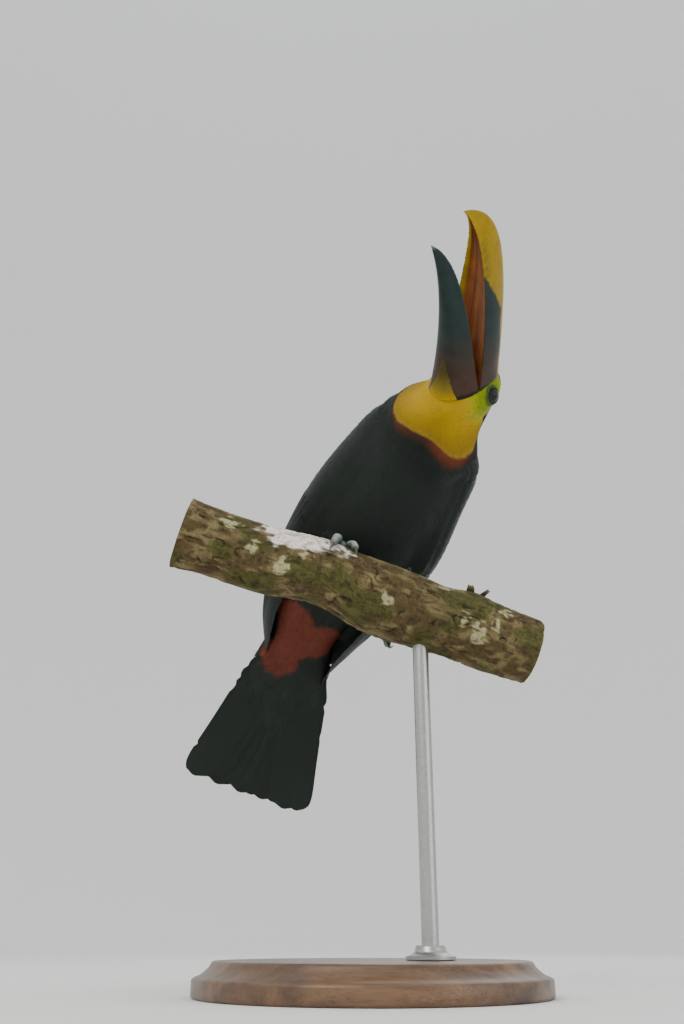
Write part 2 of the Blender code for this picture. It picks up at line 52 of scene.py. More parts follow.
CAMERA_AIM = np.array((-0.020, -0.020, 0.3441))
CAMERA_REACH = 0.760
CAMERA_RISE = math.radians(24.0)
CAMERA_LENS = 33.75                       # in millimetres, before a sensor 36 mm wide

lens = bpy.data.cameras.new("camera")
lens.lens = CAMERA_LENS
lens.sensor_width = 36.0
sight = np.array((0, math.cos(CAMERA_RISE), math.sin(CAMERA_RISE)))
camera = bpy.data.objects.new("camera", lens)
camera.location = CAMERA_AIM - CAMERA_REACH * sight
camera.rotation_euler = (math.pi / 2 + CAMERA_RISE, 0, 0)
bpy.context.collection.objects.link(camera)
bpy.context.scene.camera = camera

# ---- Studio ---------------------------------------------------------------------------------
# A pale matt floor that sweeps up into a wall all round, one large soft lamp over the viewer's
# left shoulder, a weaker one on the right, and one behind that draws the edges of the plumage.

FLOOR_RADIUS = 2.2
WALL_RADIUS = 4.5
WALL_HEIGHT = 8.0
PAPER_WHITE = (0.90, 0.89, 0.87, 1.0)
LAMPS = (                                 # name, place, size, power and colour
    ("key_lamp", (-0.9, -1.3, 1.5), 1.1, 17.0, (1.0, 0.97, 0.93)),
    ("fill_lamp", (1.5, -1.0, 0.6), 1.2, 6.0, (0.93, 0.97, 1.0)),
    ("edge_lamp", (0.5, 1.5, 1.4), 1.2, 5.0, (1.0, 1.0, 1.0)),
)
AIR_COLOUR = (0.85, 0.90, 0.93, 1.0)
AIR_STRENGTH = 1.45
FULL_TURN = 2 * math.pi
UPRIGHT = np.array((0.0, 0.0, 1.0))


class Finish:
    """A material made of nodes, whose unchanging values stand on its shader's own sockets."""

    def __init__(self, name, roughness, **constants):
        self.material = bpy.data.materials.new(name)
        self.material.use_nodes = True
        self.tree = self.material.node_tree
        self.shader = self.tree.nodes["Principled BSDF"]
        for socket, value in {"Roughness": roughness, **constants}.items():
            self.shader.inputs[socket.replace("_", " ")].default_value = value

    def node(self, kind, settings=None, **inputs):
        """A node with its settings; each input is a value or another node's output."""
        made = self.tree.nodes.new("ShaderNode" + kind)
        for name, value in (settings or {}).items():
            setattr(made, name, value)
        for name, value in inputs.items():
            socket = made.inputs[int(name[2:])] if name.startswith("in") else made.inputs[name]
            if isinstance(value, bpy.types.NodeSocket):
                self.tree.links.new(value, socket)
            else:
                socket.default_value = value
        return made

    def link(self, **outputs):
        """Joins nodes' outputs to the shader's inputs."""
        for socket, output in outputs.items():
            self.tree.links.new(output, self.shader.inputs[socket.replace("_", " ")])

    def place(self, **mapping):
        """A spot's own place on the piece, stretched or turned where a mapping is given."""
        spot = self.node("TexCoord").outputs["Object"]
        return self.node("Mapping", Vector=spot, **mapping).outputs["Vector"] if mapping else spot

    def noise(self, place, scale, detail=2.0, **inputs):
        """Cloudy noise, which mostly lies between 0.3 and 0.7."""
        made = self.node("TexNoise", Vector=place, Scale=scale, Detail=detail, **inputs)
        return made.outputs["Fac"]

    def reckon(self, operation, *values):
        """One step of arithmetic on up to three values or outputs."""
        inputs = {f"in{i}": value for i, value in enumerate(values)}
        return self.node("Math", {"operation": operation}, **inputs).outputs[0]

    def levels(self, value, low, high, start=0.3, end=0.7):
        """A value carried over from start to end onto low to high."""
        made = self.node("MapRange", Value=value, in1=start, in2=end, in3=low, in4=high)
        return made.outputs["Result"]

    def ramp(self, value, dark, light, start=0.0, end=1.0):
        """Colours between dark, where the value is start, and light, where it is end."""
        made = self.node("ValToRGB", in0=value)
        for stop, position, colour in zip(made.color_ramp.elements, (start, end), (dark, light)):
            stop.position = position
            stop.color = (*colour, 1.0)
        return made.outputs["Color"]

    def layer(self, name):
        """A layer that is painted on the piece's points."""
        return self.node("Attribute", {"attribute_name": name})

    def toned(self, colour, *levels):
        """A colour made lighter and darker by the levels of a value."""
        return self.node("VectorMath", {"operation": "SCALE"}, in0=colour,
                         Scale=self.levels(*levels)).outputs["Vector"]

    def marks(self, *levels):
        """The piece's painted marks, toned by the levels of a value."""
        return self.toned(self.layer("marks").outputs["Color"], *levels)

    def bump(self, height, strength, distance):
        """Fine relief from a height."""
        made = self.node("Bump", Strength=strength, Distance=distance, Height=height)
        self.link(Normal=made.outputs["Normal"])


def surface(name, points, faces, finish):
    """A smooth mesh object from an array of points and arrays of three or four cornered faces."""
    mesh = bpy.data.meshes.new(name)
    corners = np.concatenate([face.ravel() for face in faces])
    sizes = np.concatenate([np.full(len(face), face.shape[1]) for face in faces])
    mesh.vertices.add(len(points))
    mesh.vertices.foreach_set("co", np.ascontiguousarray(points, dtype=np.float32).ravel())
    mesh.loops.add(len(corners))
    mesh.loops.foreach_set("vertex_index", corners.astype(np.int32))
    mesh.polygons.add(len(sizes))
    mesh.polygons.foreach_set("loop_start", (np.cumsum(sizes) - sizes).astype(np.int32))
    mesh.update(calc_edges=True)
    mesh.shade_smooth()
    mesh.materials.append(finish.material)
    piece = bpy.data.objects.new(name, mesh)
    bpy.context.collection.objects.link(piece)
    return piece


def walls(rings):
    """Four cornered faces between rings of point numbers, and the numbers one step round."""
    ahead = np.roll(rings, -1, axis=1)
    return np.stack((rings[:-1], ahead[:-1], ahead[1:], rings[1:]), axis=-1).reshape(-1, 4), ahead


def loft(name, grids, finish, capped=True):
    """Grids of points, each row a ring, joined in one object and turned to look outwards.

    Where capped is set a grid's first and last rows are fanned to their own middles, which follow
    its points. The sign of the enclosed volume, the sum of a . (b x c) over the triangles, tells
    which way the faces look.
    """
    all_points, all_faces, first = [], [], 0
    for grid in grids:
        points = grid.reshape(-1, 3)
        here = np.arange(len(points)).reshape(grid.shape[:2])
        sides, ahead = walls(here)
        faces = [sides]
        if capped:
            middle = np.full(grid.shape[1], len(points))
            points = np.vstack((points, grid[0].mean(axis=0), grid[-1].mean(axis=0)))
            faces.append(np.stack((ahead[0], here[0], middle), axis=-1))
            faces.append(np.stack((here[-1], ahead[-1], middle + 1), axis=-1))
        centred = points - points.mean(axis=0)
        volume = 0.0
        for face in faces:
            for k in range(1, face.shape[1] - 1):
                a, b, c = centred[face[:, 0]], centred[face[:, k]], centred[face[:, k + 1]]
                volume += np.einsum("ij,ij->i", a, np.cross(b, c)).sum()
        if volume < 0:
            faces = [face[:, ::-1] for face in faces]
        all_points.append(points)
        all_faces.extend(face + first for face in faces)
        first += len(points)
    return surface(name, np.concatenate(all_points), all_faces, finish)


def full_turn(count):
    """Evenly spaced angles once round."""
    return np.linspace(0, FULL_TURN, count, endpoint=False)


def lathe(profile, columns):
    """A profile of radius and height carried round an upright axis."""
    turn = full_turn(columns)
    ring = np.stack((np.cos(turn), np.sin(turn), 0 * turn), axis=-1)
    return profile[:, None, :1] * ring + profile[:, None, 1:] * UPRIGHT


def studio_floor():
    """Flat out to its radius, then a quarter of an ellipse up to the wall."""
    flat = np.linspace(0.02, FLOOR_RADIUS, 24)
    sweep = np.linspace(0, math.pi / 2, 24)[1:]
    radius = np.concatenate((flat, FLOOR_RADIUS + (WALL_RADIUS - FLOOR_RADIUS) * np.sin(sweep)))
    height = np.concatenate((flat * 0, WALL_HEIGHT * (1 - np.cos(sweep))))
    paper = Finish("studio_paper", 0.9, Base_Color=PAPER_WHITE)
    grid = lathe(np.stack((radius, height), axis=-1), 96)
    floor = loft("studio_floor", [grid], paper, capped=False)
    floor.data.flip_normals()
    return floor


studio_floor()
for name, place, size, power, colour in LAMPS:
    lamp = bpy.data.lights.new(name, "AREA")
    lamp.size = size
    lamp.energy = power
    lamp.color = colour
    holder = bpy.data.objects.new(name, lamp)
    x, y, z = np.array(place) - CAMERA_AIM
    holder.location = place
    holder.rotation_euler = (math.atan2(math.hypot(x, y), z), 0, math.atan2(y, x) + math.pi / 2)
    bpy.context.collection.objects.link(holder)
air = bpy.data.worlds.new("studio_air")
air.use_nodes = True
air.node_tree.nodes["Background"].inputs["Color"].default_value = AIR_COLOUR
air.node_tree.nodes["Background"].inputs["Strength"].default_value = AIR_STRENGTH
bpy.context.scene.world = air

# ---- The bird's build -----------------------------------------------------------------------
# The spine bends from the lowered tail up the leaning trunk and over into the twisted neck and
# head. Ovals set square to it give the body's outline, out to the tips of the feathers.

TAIL_ATTITUDE = (27.0, 43.0, 26.0)        # heading from -Y towards +X, pitch up, roll to the left
TRUNK_ATTITUDE = (40.5, 38.5, 26.0)
HEAD_ATTITUDE = (2.0, 27.0, 54.0)
TAIL_ROOT = np.array((-0.0525, 0.1040, 0.2845))
GAPE = np.array((0.0719, -0.0831, 0.4268))
TAIL_LENGTH = 0.179
TRUNK_LENGTH = 0.178
HEAD_START = 0.224
BODY_STATIONS = np.array((                # place, half width, height of back, depth of belly
    (-0.179, 0.0665, 0.0012, 0.0012),
    (-0.120, 0.0535, 0.0015, 0.0016),
    (-0.075, 0.0430, 0.0026, 0.0034),
    (-0.045, 0.0360, 0.0060, 0.0085),
    (-0.020, 0.0310, 0.0120, 0.0165),
    (0.000, 0.0290, 0.0180, 0.0225),
    (0.029, 0.0360, 0.0280, 0.0310),
    (0.068, 0.0465, 0.0375, 0.0390),
    (0.108, 0.0505, 0.0420, 0.0430),
    (0.147, 0.0490, 0.0415, 0.0430),
    (0.176, 0.0450, 0.0380, 0.0420),
    (0.200, 0.0410, 0.0325, 0.0425),
    (0.220, 0.0418, 0.0245, 0.0425),
    (0.240, 0.0325, 0.0212, 0.0425),
    (0.256, 0.0250, 0.0346, 0.0372),
    (0.265, 0.0248, 0.0366, 0.0326),
    (0.274, 0.0196, 0.0335, 0.0277),
))
THROAT_PUFF = (0.234, 0.017, 0.0036)      # place, reach and depth of its puff to the right side
GAPE_ANGLE = math.radians(12.5)
UPPER_BASE_SLOPE = 0.0020 / 0.0325        # how far the bill's base planes lean, above and below
LOWER_BASE_SLOPE = math.tan(GAPE_ANGLE - math.atan(0.0015 / 0.0275))


def attitude(heading, pitch, roll):
    """Forward, left and back directions of a part of the bird, from its angles in degrees."""
    heading, pitch, roll = np.radians((heading, pitch, roll))
    level = math.cos(pitch)
    forward = np.array((math.sin(heading) * level, -math.cos(heading) * level, math.sin(pitch)))
    level_left = np.array((math.cos(heading), math.sin(heading), 0.0))
    level_back = np.cross(forward, level_left)
    left = level_left * math.cos(roll) - level_back * math.sin(roll)
    return forward, left, level_back * math.cos(roll) + level_left * math.sin(roll)


def ease(start, end, value):
    """0 before start, 1 after end, and the smooth cubic 3t^2 - 2t^3 between them."""
    t = np.clip((value - start) / (end - start), 0.0, 1.0)
    return t * t * (3 - 2 * t)


def unit(vectors):
    """The vectors at length one."""
    return vectors / np.maximum(np.linalg.norm(vectors, axis=-1, keepdims=True), 1e-12)


def cubic(start, slope_in, end, slope_out, t):
    """The cubic curve from start to end that has the given slopes there."""
    return (start * (2 * t**3 - 3 * t**2 + 1) + slope_in * (t**3 - 2 * t**2 + t)
            + end * (3 * t**2 - 2 * t**3) + slope_out * (t**3 - t**2))


def bend(start, start_way, end, end_way, t):
    """The curve that leaves start and reaches end along the two ways."""
    reach = np.linalg.norm(end - start)
    return cubic(start, start_way * reach, end, end_way * reach, t[:, None])


def stations_at(stations, place):
    """The columns of a station table at each place, on smooth curves through its rows.

    The slope of a curve at a row is that from the row before to the row after.
    """
    last = len(stations) - 1
    place = np.clip(place, stations[0, 0], stations[last, 0])
    row = np.clip(np.searchsorted(stations[:, 0], place, "right") - 1, 0, last - 1)
    before, start = stations[np.maximum(row - 1, 0)], stations[row]
    end, after = stations[row + 1], stations[np.minimum(row + 2, last)]
    span = end[..., :1] - start[..., :1]
    slope_in = (end - before) / (end - before)[..., :1] * span
    slope_out = (after - start) / (after - start)[..., :1] * span
    values = cubic(start, slope_in, end, slope_out, (place[..., None] - start[..., :1]) / span)
    return np.moveaxis(values[..., 1:], -1, 0)


TAIL_WAY, _, TAIL_BACK = attitude(*TAIL_ATTITUDE)
TRUNK_WAY, _, TRUNK_BACK = attitude(*TRUNK_ATTITUDE)
HEAD_WAY, HEAD_LEFT, HEAD_BACK = attitude(*HEAD_ATTITUDE)
NECK_ROOT = TAIL_ROOT + TRUNK_WAY * TRUNK_LENGTH
steps = np.arange(60) / 60
SPINE = np.vstack((
    TAIL_ROOT - TAIL_WAY * TAIL_LENGTH * (1 - steps)[:, None],
    bend(TAIL_ROOT, TAIL_WAY, NECK_ROOT, TRUNK_WAY, steps),
    bend(NECK_ROOT, TRUNK_WAY, GAPE, HEAD_WAY, steps),
    GAPE,
))
SPINE_PLACES = np.concatenate(((0,), np.cumsum(np.linalg.norm(np.diff(SPINE, axis=0), axis=1))))
SPINE_PLACES = SPINE_PLACES - TAIL_LENGTH
SPINE_END = SPINE_PLACES[-1]
SPINE_WAYS = unit(np.vstack((SPINE[1] - SPINE[0], SPINE[2:] - SPINE[:-2], HEAD_WAY)))


def along_spine(place):
    """Point, way forward, left and back directions of the spine at each place."""
    middle, way = (
        np.stack([np.interp(place, SPINE_PLACES, column) for column in table.T], axis=-1)
        for table in (SPINE, SPINE_WAYS))
    way = unit(way)
    into_trunk = ease(-0.02, 0.06, place)[..., None]
    into_head = ease(TRUNK_LENGTH - 0.02, SPINE_END - 0.01, place)[..., None]
    back = (TAIL_BACK * (1 - into_trunk) + TRUNK_BACK * into_trunk) * (1 - into_head)
    back = back + HEAD_BACK * into_head
    back = unit(back - way * np.sum(back * way, axis=-1, keepdims=True))
    return middle, way, np.cross(back, way), back


def body_at(place, angle, lift):
    """The body's surface: an oval round the spine, grown by lift.

    Its point is middle + left * sin(angle) * half width + back * cos(angle) * height. The oval
    moves to the bird's right where the throat puffs out, and over the head it leans until it lies
    in the planes that the bill stands on.
    """
    middle, way, left, back = along_spine(place)
    puff_place, puff_reach, puff_depth = THROAT_PUFF
    puff = puff_depth * np.exp(-((place - puff_place) / puff_reach) ** 2)
    middle = middle - left * puff[..., None]
    half_width, above, below = stations_at(BODY_STATIONS, place)
    over = np.cos(angle) > 0
    side = np.sin(angle) * (half_width + lift)
    height = np.cos(angle) * (np.where(over, above, below) + lift)
    lean = ease(HEAD_START, SPINE_END, place) * np.where(over, UPPER_BASE_SLOPE, LOWER_BASE_SLOPE)
    point = middle + left * side[..., None] + back * height[..., None]
    return point + way * (lean * height)[..., None]


# ---- Colours of the plumage and the skin ----------------------------------------------------
# Skin and feathers carry the same marks: black body, golden bib with a pale lower rim and a red
# band under it, black crown and nape, bare lime-green skin round the eye, red under the tail and
# white over it.

BLACK = np.array((0.0135, 0.0180, 0.0155))
NAPE = np.array((0.0170, 0.0130, 0.0115))
# Painted backlight: the tail's black is lighter than the body's, for the light that shines through
# it from behind.
BACKLIT_TAIL_BLACK = np.array((0.0190, 0.0250, 0.0215))
GOLD = np.array((0.470, 0.288, 0.0040))
DEEP_GOLD = np.array((0.290, 0.175, 0.0050))
BIB_RIM = np.array((0.420, 0.270, 0.0600))
BAND_RED = np.array((0.150, 0.0330, 0.0130))
VENT_RED = np.array((0.138, 0.0330, 0.0190))
RUMP_WHITE = np.array((0.560, 0.540, 0.4300))
LIME = np.array((0.195, 0.255, 0.0050))
YELLOW_LIME = np.array((0.385, 0.335, 0.0060))
EYE_PLACE = SPINE_END - 0.0061
EYE_ANGLE = math.radians(68.0)
BARE_LENGTH = 0.0140                      # reach of the bare skin behind the eye
BARE_ABOVE = math.radians(42.0)           # and how far it goes up and down round the head
BARE_BELOW = math.radians(29.0)
BARE_DROP = math.radians(8.0)             # how far its middle lies under the eye's own angle
CHEEK_LINE = math.radians(61.0)           # angle where the bib meets the black nape
CHEEK_FOLD = math.radians(12.0)           # and how far the twisted neck folds it down on the left
NAPE_SIDES = np.radians((95.0, 55.0))     # between these the black of the flanks turns brown
BAND_SIDE = math.radians(80.0)            # the red band's ends on either side
RUMP_SIDES = np.radians((66.0, 58.0))     # the white rump's edges
RUMP_TWIST = math.radians(26.0)           # and how much lower it comes on the right
BIB_EDGE = np.array((                     # angle in degrees, place of the bib's lower edge, the
    (0.0, 0.2400, 0.0045, 0.3), (66.0, 0.2420, 0.0045, 0.3),     # red band's depth and strength
    (86.0, 0.2342, 0.0045, 0.3), (92.0, 0.2306, 0.0050, 0.4), (107.0, 0.2277, 0.0080, 0.75),
    (124.0, 0.2290, 0.0150, 0.95), (137.0, 0.2360, 0.0230, 0.95), (145.0, 0.2400, 0.0225, 0.75),
    (155.0, 0.2414, 0.0150, 0.40), (165.0, 0.2410, 0.0125, 0.32), (175.0, 0.2392, 0.0135, 0.38),
    (188.0, 0.2360, 0.0160, 0.52), (207.0, 0.2277, 0.0115, 0.62), (216.0, 0.2268, 0.0090, 0.5),
    (227.0, 0.2248, 0.0070, 0.5), (245.0, 0.2280, 0.0060, 0.4), (270.0, 0.2350, 0.0050, 0.3),
    (300.0, 0.2420, 0.0045, 0.3), (360.0, 0.2400, 0.0045, 0.3),
))
VENT_LOBES = (                            # place, angle in degrees and size of the red tufts
    (0.0140, 209.0, 0.0200), (0.0045, 152.0, 0.0182), (-0.0290, 205.0, 0.0182),
    (-0.0060, 193.0, 0.0185),
)


def bib_edge(angle):
    """Place of the bib's lower edge at each angle, and the red band's depth and strength there."""
    return stations_at(BIB_EDGE, np.degrees(np.mod(angle, FULL_TURN)))


def off_back(angle):
    """How far an angle is from the middle of the back, to either side."""
    return math.pi - np.abs(np.mod(angle, FULL_TURN) - math.pi)


def bare_cover(place, angle):
    """How far inside the bare skin round the eye a spot lies: 1 at its middle, 0 at its rim."""
    behind = np.maximum(EYE_PLACE - place, 0.0) / BARE_LENGTH
    off_eye = off_back(angle) - EYE_ANGLE - BARE_DROP
    round_it = off_eye / np.where(off_eye < 0, BARE_ABOVE, BARE_BELOW)
    return 1 - np.sqrt(behind**2 + round_it**2)


def mix(first, second, share):
    """Colours between two, by a share for each spot."""
    return first * (1 - share[..., None]) + second * share[..., None]


def plumage_colour(place, angle):
    """The colour of the coat and of the skin under it at each spot of the body."""
    side = off_back(angle)
    edge, band_depth, band_strength = bib_edge(angle)
    ahead = place - edge
    nape = ease(0.13, 0.19, place) * ease(*NAPE_SIDES, side)
    colour = mix(BLACK, NAPE, nape * ease(0.262, 0.24, place))
    # The tail is painted a little lighter, for the backlight through it.
    colour = mix(colour, BACKLIT_TAIL_BLACK, ease(-0.020, -0.045, place))
    band = ease(1.0, 0.10, -ahead / band_depth) * (side > BAND_SIDE)
    colour = mix(colour, BAND_RED, np.where(ahead < 0, band * band_strength, 0.0))
    gold = mix(DEEP_GOLD, GOLD, ease(0.000, 0.034, ahead))
    gold = mix(gold, BIB_RIM, ease(0.0060, 0.0, ahead) * 0.30)
    fold = ease(0.238, 0.246, place) * ease(0.265, 0.257, place) * ease(0.0, 0.3, np.sin(angle))
    on_bib = (side > CHEEK_LINE + CHEEK_FOLD * fold) * ease(-0.0009, 0.0009, ahead)
    colour = mix(colour, gold, on_bib)
    low_side = side - RUMP_TWIST * (np.sin(angle) < 0)
    colour = mix(colour, RUMP_WHITE, ease(0.016, 0.008, place) * ease(*RUMP_SIDES, low_side))
    vent = np.zeros(place.shape)
    spot = body_at(place, angle, 0.0)
    for lobe_place, lobe_degrees, size in VENT_LOBES:
        lobe = body_at(np.array(lobe_place), np.array(math.radians(lobe_degrees)), 0.0)
        vent = np.maximum(vent, ease(1.10, 0.95, np.linalg.norm(spot - lobe, axis=-1) / size))
    colour = mix(colour, VENT_RED, vent)
    cover = bare_cover(place, angle)
    bare = mix(YELLOW_LIME, LIME, ease(-0.10, 0.45, cover))
    return mix(colour, bare, ease(-0.06 - 0.45 * on_bib, 0.05 + 0.10 * on_bib, cover))


# ---- Skin -----------------------------------------------------------------------------------
# One seamless skin from the root of the tail to the base of the bill. It lies inside the outline
# by the depth of the coat, comes up to it where the face is bare, and wrinkles round the eye.


def coat_depth(place, angle):
    """Depth of the coat: thick on the trunk, thin on the face, none on the bare skin."""
    depth = 0.0015 - 0.0007 * ease(0.205, 0.262, place)
    return depth * ease(0.10, -0.05, bare_cover(place, angle)) + 0.0001


SIGNS = {"left": 1, "right": -1}
EYE_CENTRE = (-0.0090, 0.0177, 0.0128)    # along the head's forward, left and back from the gape
EYE_LOOK = (0.38, 0.92, 0.05)
LID_REACH = 0.0098


def in_head(forward, side, up):
    """A point given along the head's own forward, left and back directions from the gape."""
    point = GAPE + forward[..., None] * HEAD_WAY + side[..., None] * HEAD_LEFT
    return point + up[..., None] * HEAD_BACK


def eye_frame(sign):
    """Centre of the eyeball and its outward, forward and upward directions on one side."""
    mirrored = np.array((1, sign, 1))
    centre = in_head(*(np.array(EYE_CENTRE) * mirrored)[:, None])[0]
    forward, left, up = EYE_LOOK * mirrored
    look = unit(HEAD_WAY * forward + HEAD_LEFT * left + HEAD_BACK * up)
    ahead = unit(HEAD_WAY - look * np.dot(HEAD_WAY, look))
    return centre, look, ahead, np.cross(look, ahead)


def from_eye(points):
    """Distance of points from the nearer eye's own axis, large on the far side of the head."""
    nearest = np.full(points.shape[:-1], 1.0)
    for sign in SIGNS.values():
        centre, look, _, _ = eye_frame(sign)
        away = points - centre
        along = away @ look
        off_axis = np.linalg.norm(away - along[..., None] * look, axis=-1)
        nearest = np.where(along > 0, np.minimum(nearest, off_axis), nearest)
    return nearest


def crossed(rows, columns):
    """The two values at each spot of a grid of rows and columns."""
    return np.meshgrid(rows, columns, indexing="ij")


def settle(piece, slot, *nodes):
    """Lets a piece ride on the one body and stand for its nodes, which it hides; the slot is not
    used.
    """
    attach(piece, "root")
    if nodes:
        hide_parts(*nodes)


def with_ends(values):
    """Values over a grid as a list, with those of its two closing points, taken from its ends."""
    flat = values.reshape(-1, *values.shape[2:])
    return np.concatenate((flat, flat[:1], flat[-1:]))


def paint(piece, name, values):
    """The colours of the marks, or another layer's plain values, kept with the piece's points."""
    count = len(piece.data.vertices)
    if name != "marks":
        layer = piece.data.attributes.new(name, "FLOAT", "POINT")
        layer.data.foreach_set("value", np.broadcast_to(values, count).astype(np.float32))
        return
    colours = np.ones((count, 4), dtype=np.float32)
    colours[:, :3] = values
    layer = piece.data.attributes.new(name, "FLOAT_COLOR", "POINT")
    layer.data.foreach_set("color", colours.ravel())


def unwrap(piece, name, coordinates):
    """A UV map from one pair of coordinates for each vertex.

    A face that joins the end of a row to its start takes the row's end as 1 instead of 0.
    """
    def numbers(items, what):
        found = np.empty(len(items), dtype=np.int32)
        items.foreach_get(what, found)
        return found

    mesh = piece.data
    spots = coordinates[numbers(mesh.loops, "vertex_index")].astype(np.float32)
    fours = numbers(mesh.polygons, "loop_start")[numbers(mesh.polygons, "loop_total") == 4]
    quads = fours[:, None] + np.arange(4)
    across = spots[quads, 0]
    wide = (across.max(axis=1) - across.min(axis=1) > 0.5)[:, None] & (across < 0.5)
    spots[quads, 0] = across + wide
    mesh.uv_layers.new(name=name).data.foreach_set("uv", spots.ravel())


def body_bake(place, angle):
    """A spot's two coordinates on a map of the body, round it and along it."""
    return np.mod(angle, FULL_TURN) / FULL_TURN, (place + 0.06) / (SPINE_END + 0.06)


def skin_finish():
    """Bare and feathered skin: its own painted colour, faint mottling and fine wrinkles."""
    finish = Finish("bird_skin", 0.55, Specular_IOR_Level=0.10)
    place = finish.place()
    finish.link(Base_Color=finish.marks(finish.noise(place, 420.0, 3.0), 0.78, 1.18))
    creases = finish.node("TexVoronoi", {"feature": "DISTANCE_TO_EDGE"}, Vector=place, Scale=900.0)
    finish.bump(creases.outputs["Distance"], 0.35, 0.0004)
    return finish


def make_skin():
    """A grid of places and angles, whose rows crowd on the head and end close under the bill."""
    place = np.concatenate((
        np.linspace(-0.052, 0.215, 110, endpoint=False), np.linspace(0.215, SPINE_END, 130)))
    places, angles = crossed(place, full_turn(240))
    away = from_eye(body_at(places, angles, 0.0))
    folds = 0.00018 * np.sin(away * 4200.0) * ease(0.019, 0.011, away)
    folds = folds * ease(-0.05, 0.15, bare_cover(places, angles))
    under_lids = 0.0016 * ease(LID_REACH - 0.0004, LID_REACH - 0.0020, away)
    below = stations_at(BODY_STATIONS, places)[2]
    tapered = 0.85 * below * ease(-0.024, -0.050, places)
    points = body_at(places, angles, folds - under_lids - tapered - coat_depth(places, angles))
    skin = loft("skin", [points], bare_skin)
    paint(skin, "marks", with_ends(plumage_colour(places, angles)))
    unwrap(skin, "OFBake", with_ends(np.stack(body_bake(places, angles), axis=-1)))
    settle(skin, "bare_face", "head", "neck", "trunk")


bare_skin = skin_finish()
make_skin()

# ---- Body feathers --------------------------------------------------------------------------
# Each feather is a thin closed vane with a raised shaft. It grows from the skin, lies back along
# the body over the feathers behind it, and its tip reaches the bird's outline. They are smallest
# on the face and grow down the neck.

VANE_STEPS = np.array((0.0, 0.16, 0.42, 0.70, 0.90, 1.0))       # places along a vane
VANE_WIDTHS = np.array((0.0, 0.62, 1.00, 0.94, 0.62, 0.0))      # its half width there
VANE_CORNERS = np.array(((-1.0, 0.0), (0.0, 1.0), (1.0, 0.0), (0.0, -0.35)))  # across and up
VANE_THICKNESS = 0.00012
VANE_DROOP = 0.03                                               # how its edges hang, by its width
LEAST_STRETCH = 0.55                                            # of a surface along the spine
VANE_CREASE = math.radians(50.0)                                # its edges are sharper than this
PATCH = 0.003                                                   # size of a vane on the bake map


def vane_faces(count, rings, corners):
    """Faces of closed spindles: a first point, rings of corners, a last point, count times."""
    ring = 1 + np.arange(rings * corners).reshape(rings, corners)
    sides, ahead = walls(ring)
    root = np.stack((np.zeros(corners, int), ahead[0], ring[0]), axis=-1)
    tip = np.stack((np.full(corners, 1 + rings * corners), ring[-1], ahead[-1]), axis=-1)
    shift = (np.arange(count) * (2 + rings * corners))[:, None, None]
    return [(sides + shift).reshape(-1, 4), (np.vstack((root, tip)) + shift).reshape(-1, 3)]


def lay_vanes(name, slot, finish, surface_at, place, angle, length, half_width, turn, low, high,
              tint, bake):
    """Vanes on a surface, each from its root at (place, angle) back along it.

    A spot of a vane is t * length behind its root and w * half width beside it, turned by its own
    angle; the surface's own stretch there changes this into a place and an angle. The lift rises
    evenly from low at the root to high at the tip, and the edges droop a little. tint is a colour
    for each vane, or gives the colours of spots from their places and angles.
    """
    step = 1e-4
    root = surface_at(place, angle, low)
    stretch_back = np.linalg.norm(surface_at(place - step, angle, low) - root, axis=-1) / step
    stretch_back = np.maximum(stretch_back, LEAST_STRETCH)
    stretch_round = np.linalg.norm(surface_at(place, angle + step, low) - root, axis=-1) / step
    corners, rings = len(VANE_CORNERS), len(VANE_STEPS) - 2
    t, width = (
        np.concatenate((row[:1], np.repeat(row[1:-1], corners), row[-1:]))
        for row in (VANE_STEPS, VANE_WIDTHS))
    across, up = (
        np.concatenate(((0.0,), np.tile(row, rings), (0.0,))) for row in VANE_CORNERS.T)
    length, half_width, turn, low, high = (
        np.reshape(value, (-1, 1)) for value in (length, half_width, turn, low, high))
    back = t * length
    beside = across * width * half_width
    turned_back = back * np.cos(turn) - beside * np.sin(turn)
    turned_beside = back * np.sin(turn) + beside * np.cos(turn)
    places = place[:, None] - turned_back / stretch_back[:, None]
    angles = angle[:, None] + turned_beside / stretch_round[:, None]
    lift = low + (high - low) * t
    lift = lift + up * VANE_THICKNESS - VANE_DROOP * np.abs(across) * width * half_width
    points = surface_at(places, angles, lift).reshape(-1, 3)
    piece = surface(name, points, vane_faces(len(place), rings, corners), finish)
    piece.data.set_sharp_from_angle(angle=VANE_CREASE)
    marks = tint(places, angles) if callable(tint) else np.repeat(tint, len(t), axis=0)
    paint(piece, "marks", marks.reshape(-1, 3))
    unwrap(piece, "barbs", np.tile(np.stack((across * width, t), axis=-1), (len(place), 1)))
    patch = PATCH * np.stack((across * width * 0.5, t - 0.5), axis=-1)
    unwrap(piece, "OFBake", (np.stack(bake, axis=-1)[:, None, :] + patch).reshape(-1, 2))
    settle(piece, slot)


def feather_finish(name, roughness, gloss, barbs):
    """A feather's painted colour with slanting barbs that shade it and stand up a little."""
    finish = Finish(name, roughness, Specular_IOR_Level=gloss)
    spot = finish.node("UVMap", {"uv_map": "barbs"}).outputs["UV"]
    spot = finish.node("SeparateXYZ", Vector=spot).outputs
    slant = finish.reckon("MULTIPLY_ADD", finish.reckon("ABSOLUTE", spot["X"]), -0.45, spot["Y"])
    barb = finish.reckon("SINE", finish.reckon("MULTIPLY", slant, barbs))
    finish.link(Base_Color=finish.marks(barb, 0.86, 1.08, -1.0, 1.0))
    finish.bump(barb, 0.25, 0.0002)
    return finish


def staggered(rows, counts, low, span, start=0.0, stagger=0.5):
    """The row of each root and its spot along it, every other row being shifted by stagger."""
    spots = [low + span * (np.arange(count) + start + stagger * (i % 2)) / count
             for i, count in enumerate(counts)]
    return np.repeat(rows, counts), np.concatenate(spots)


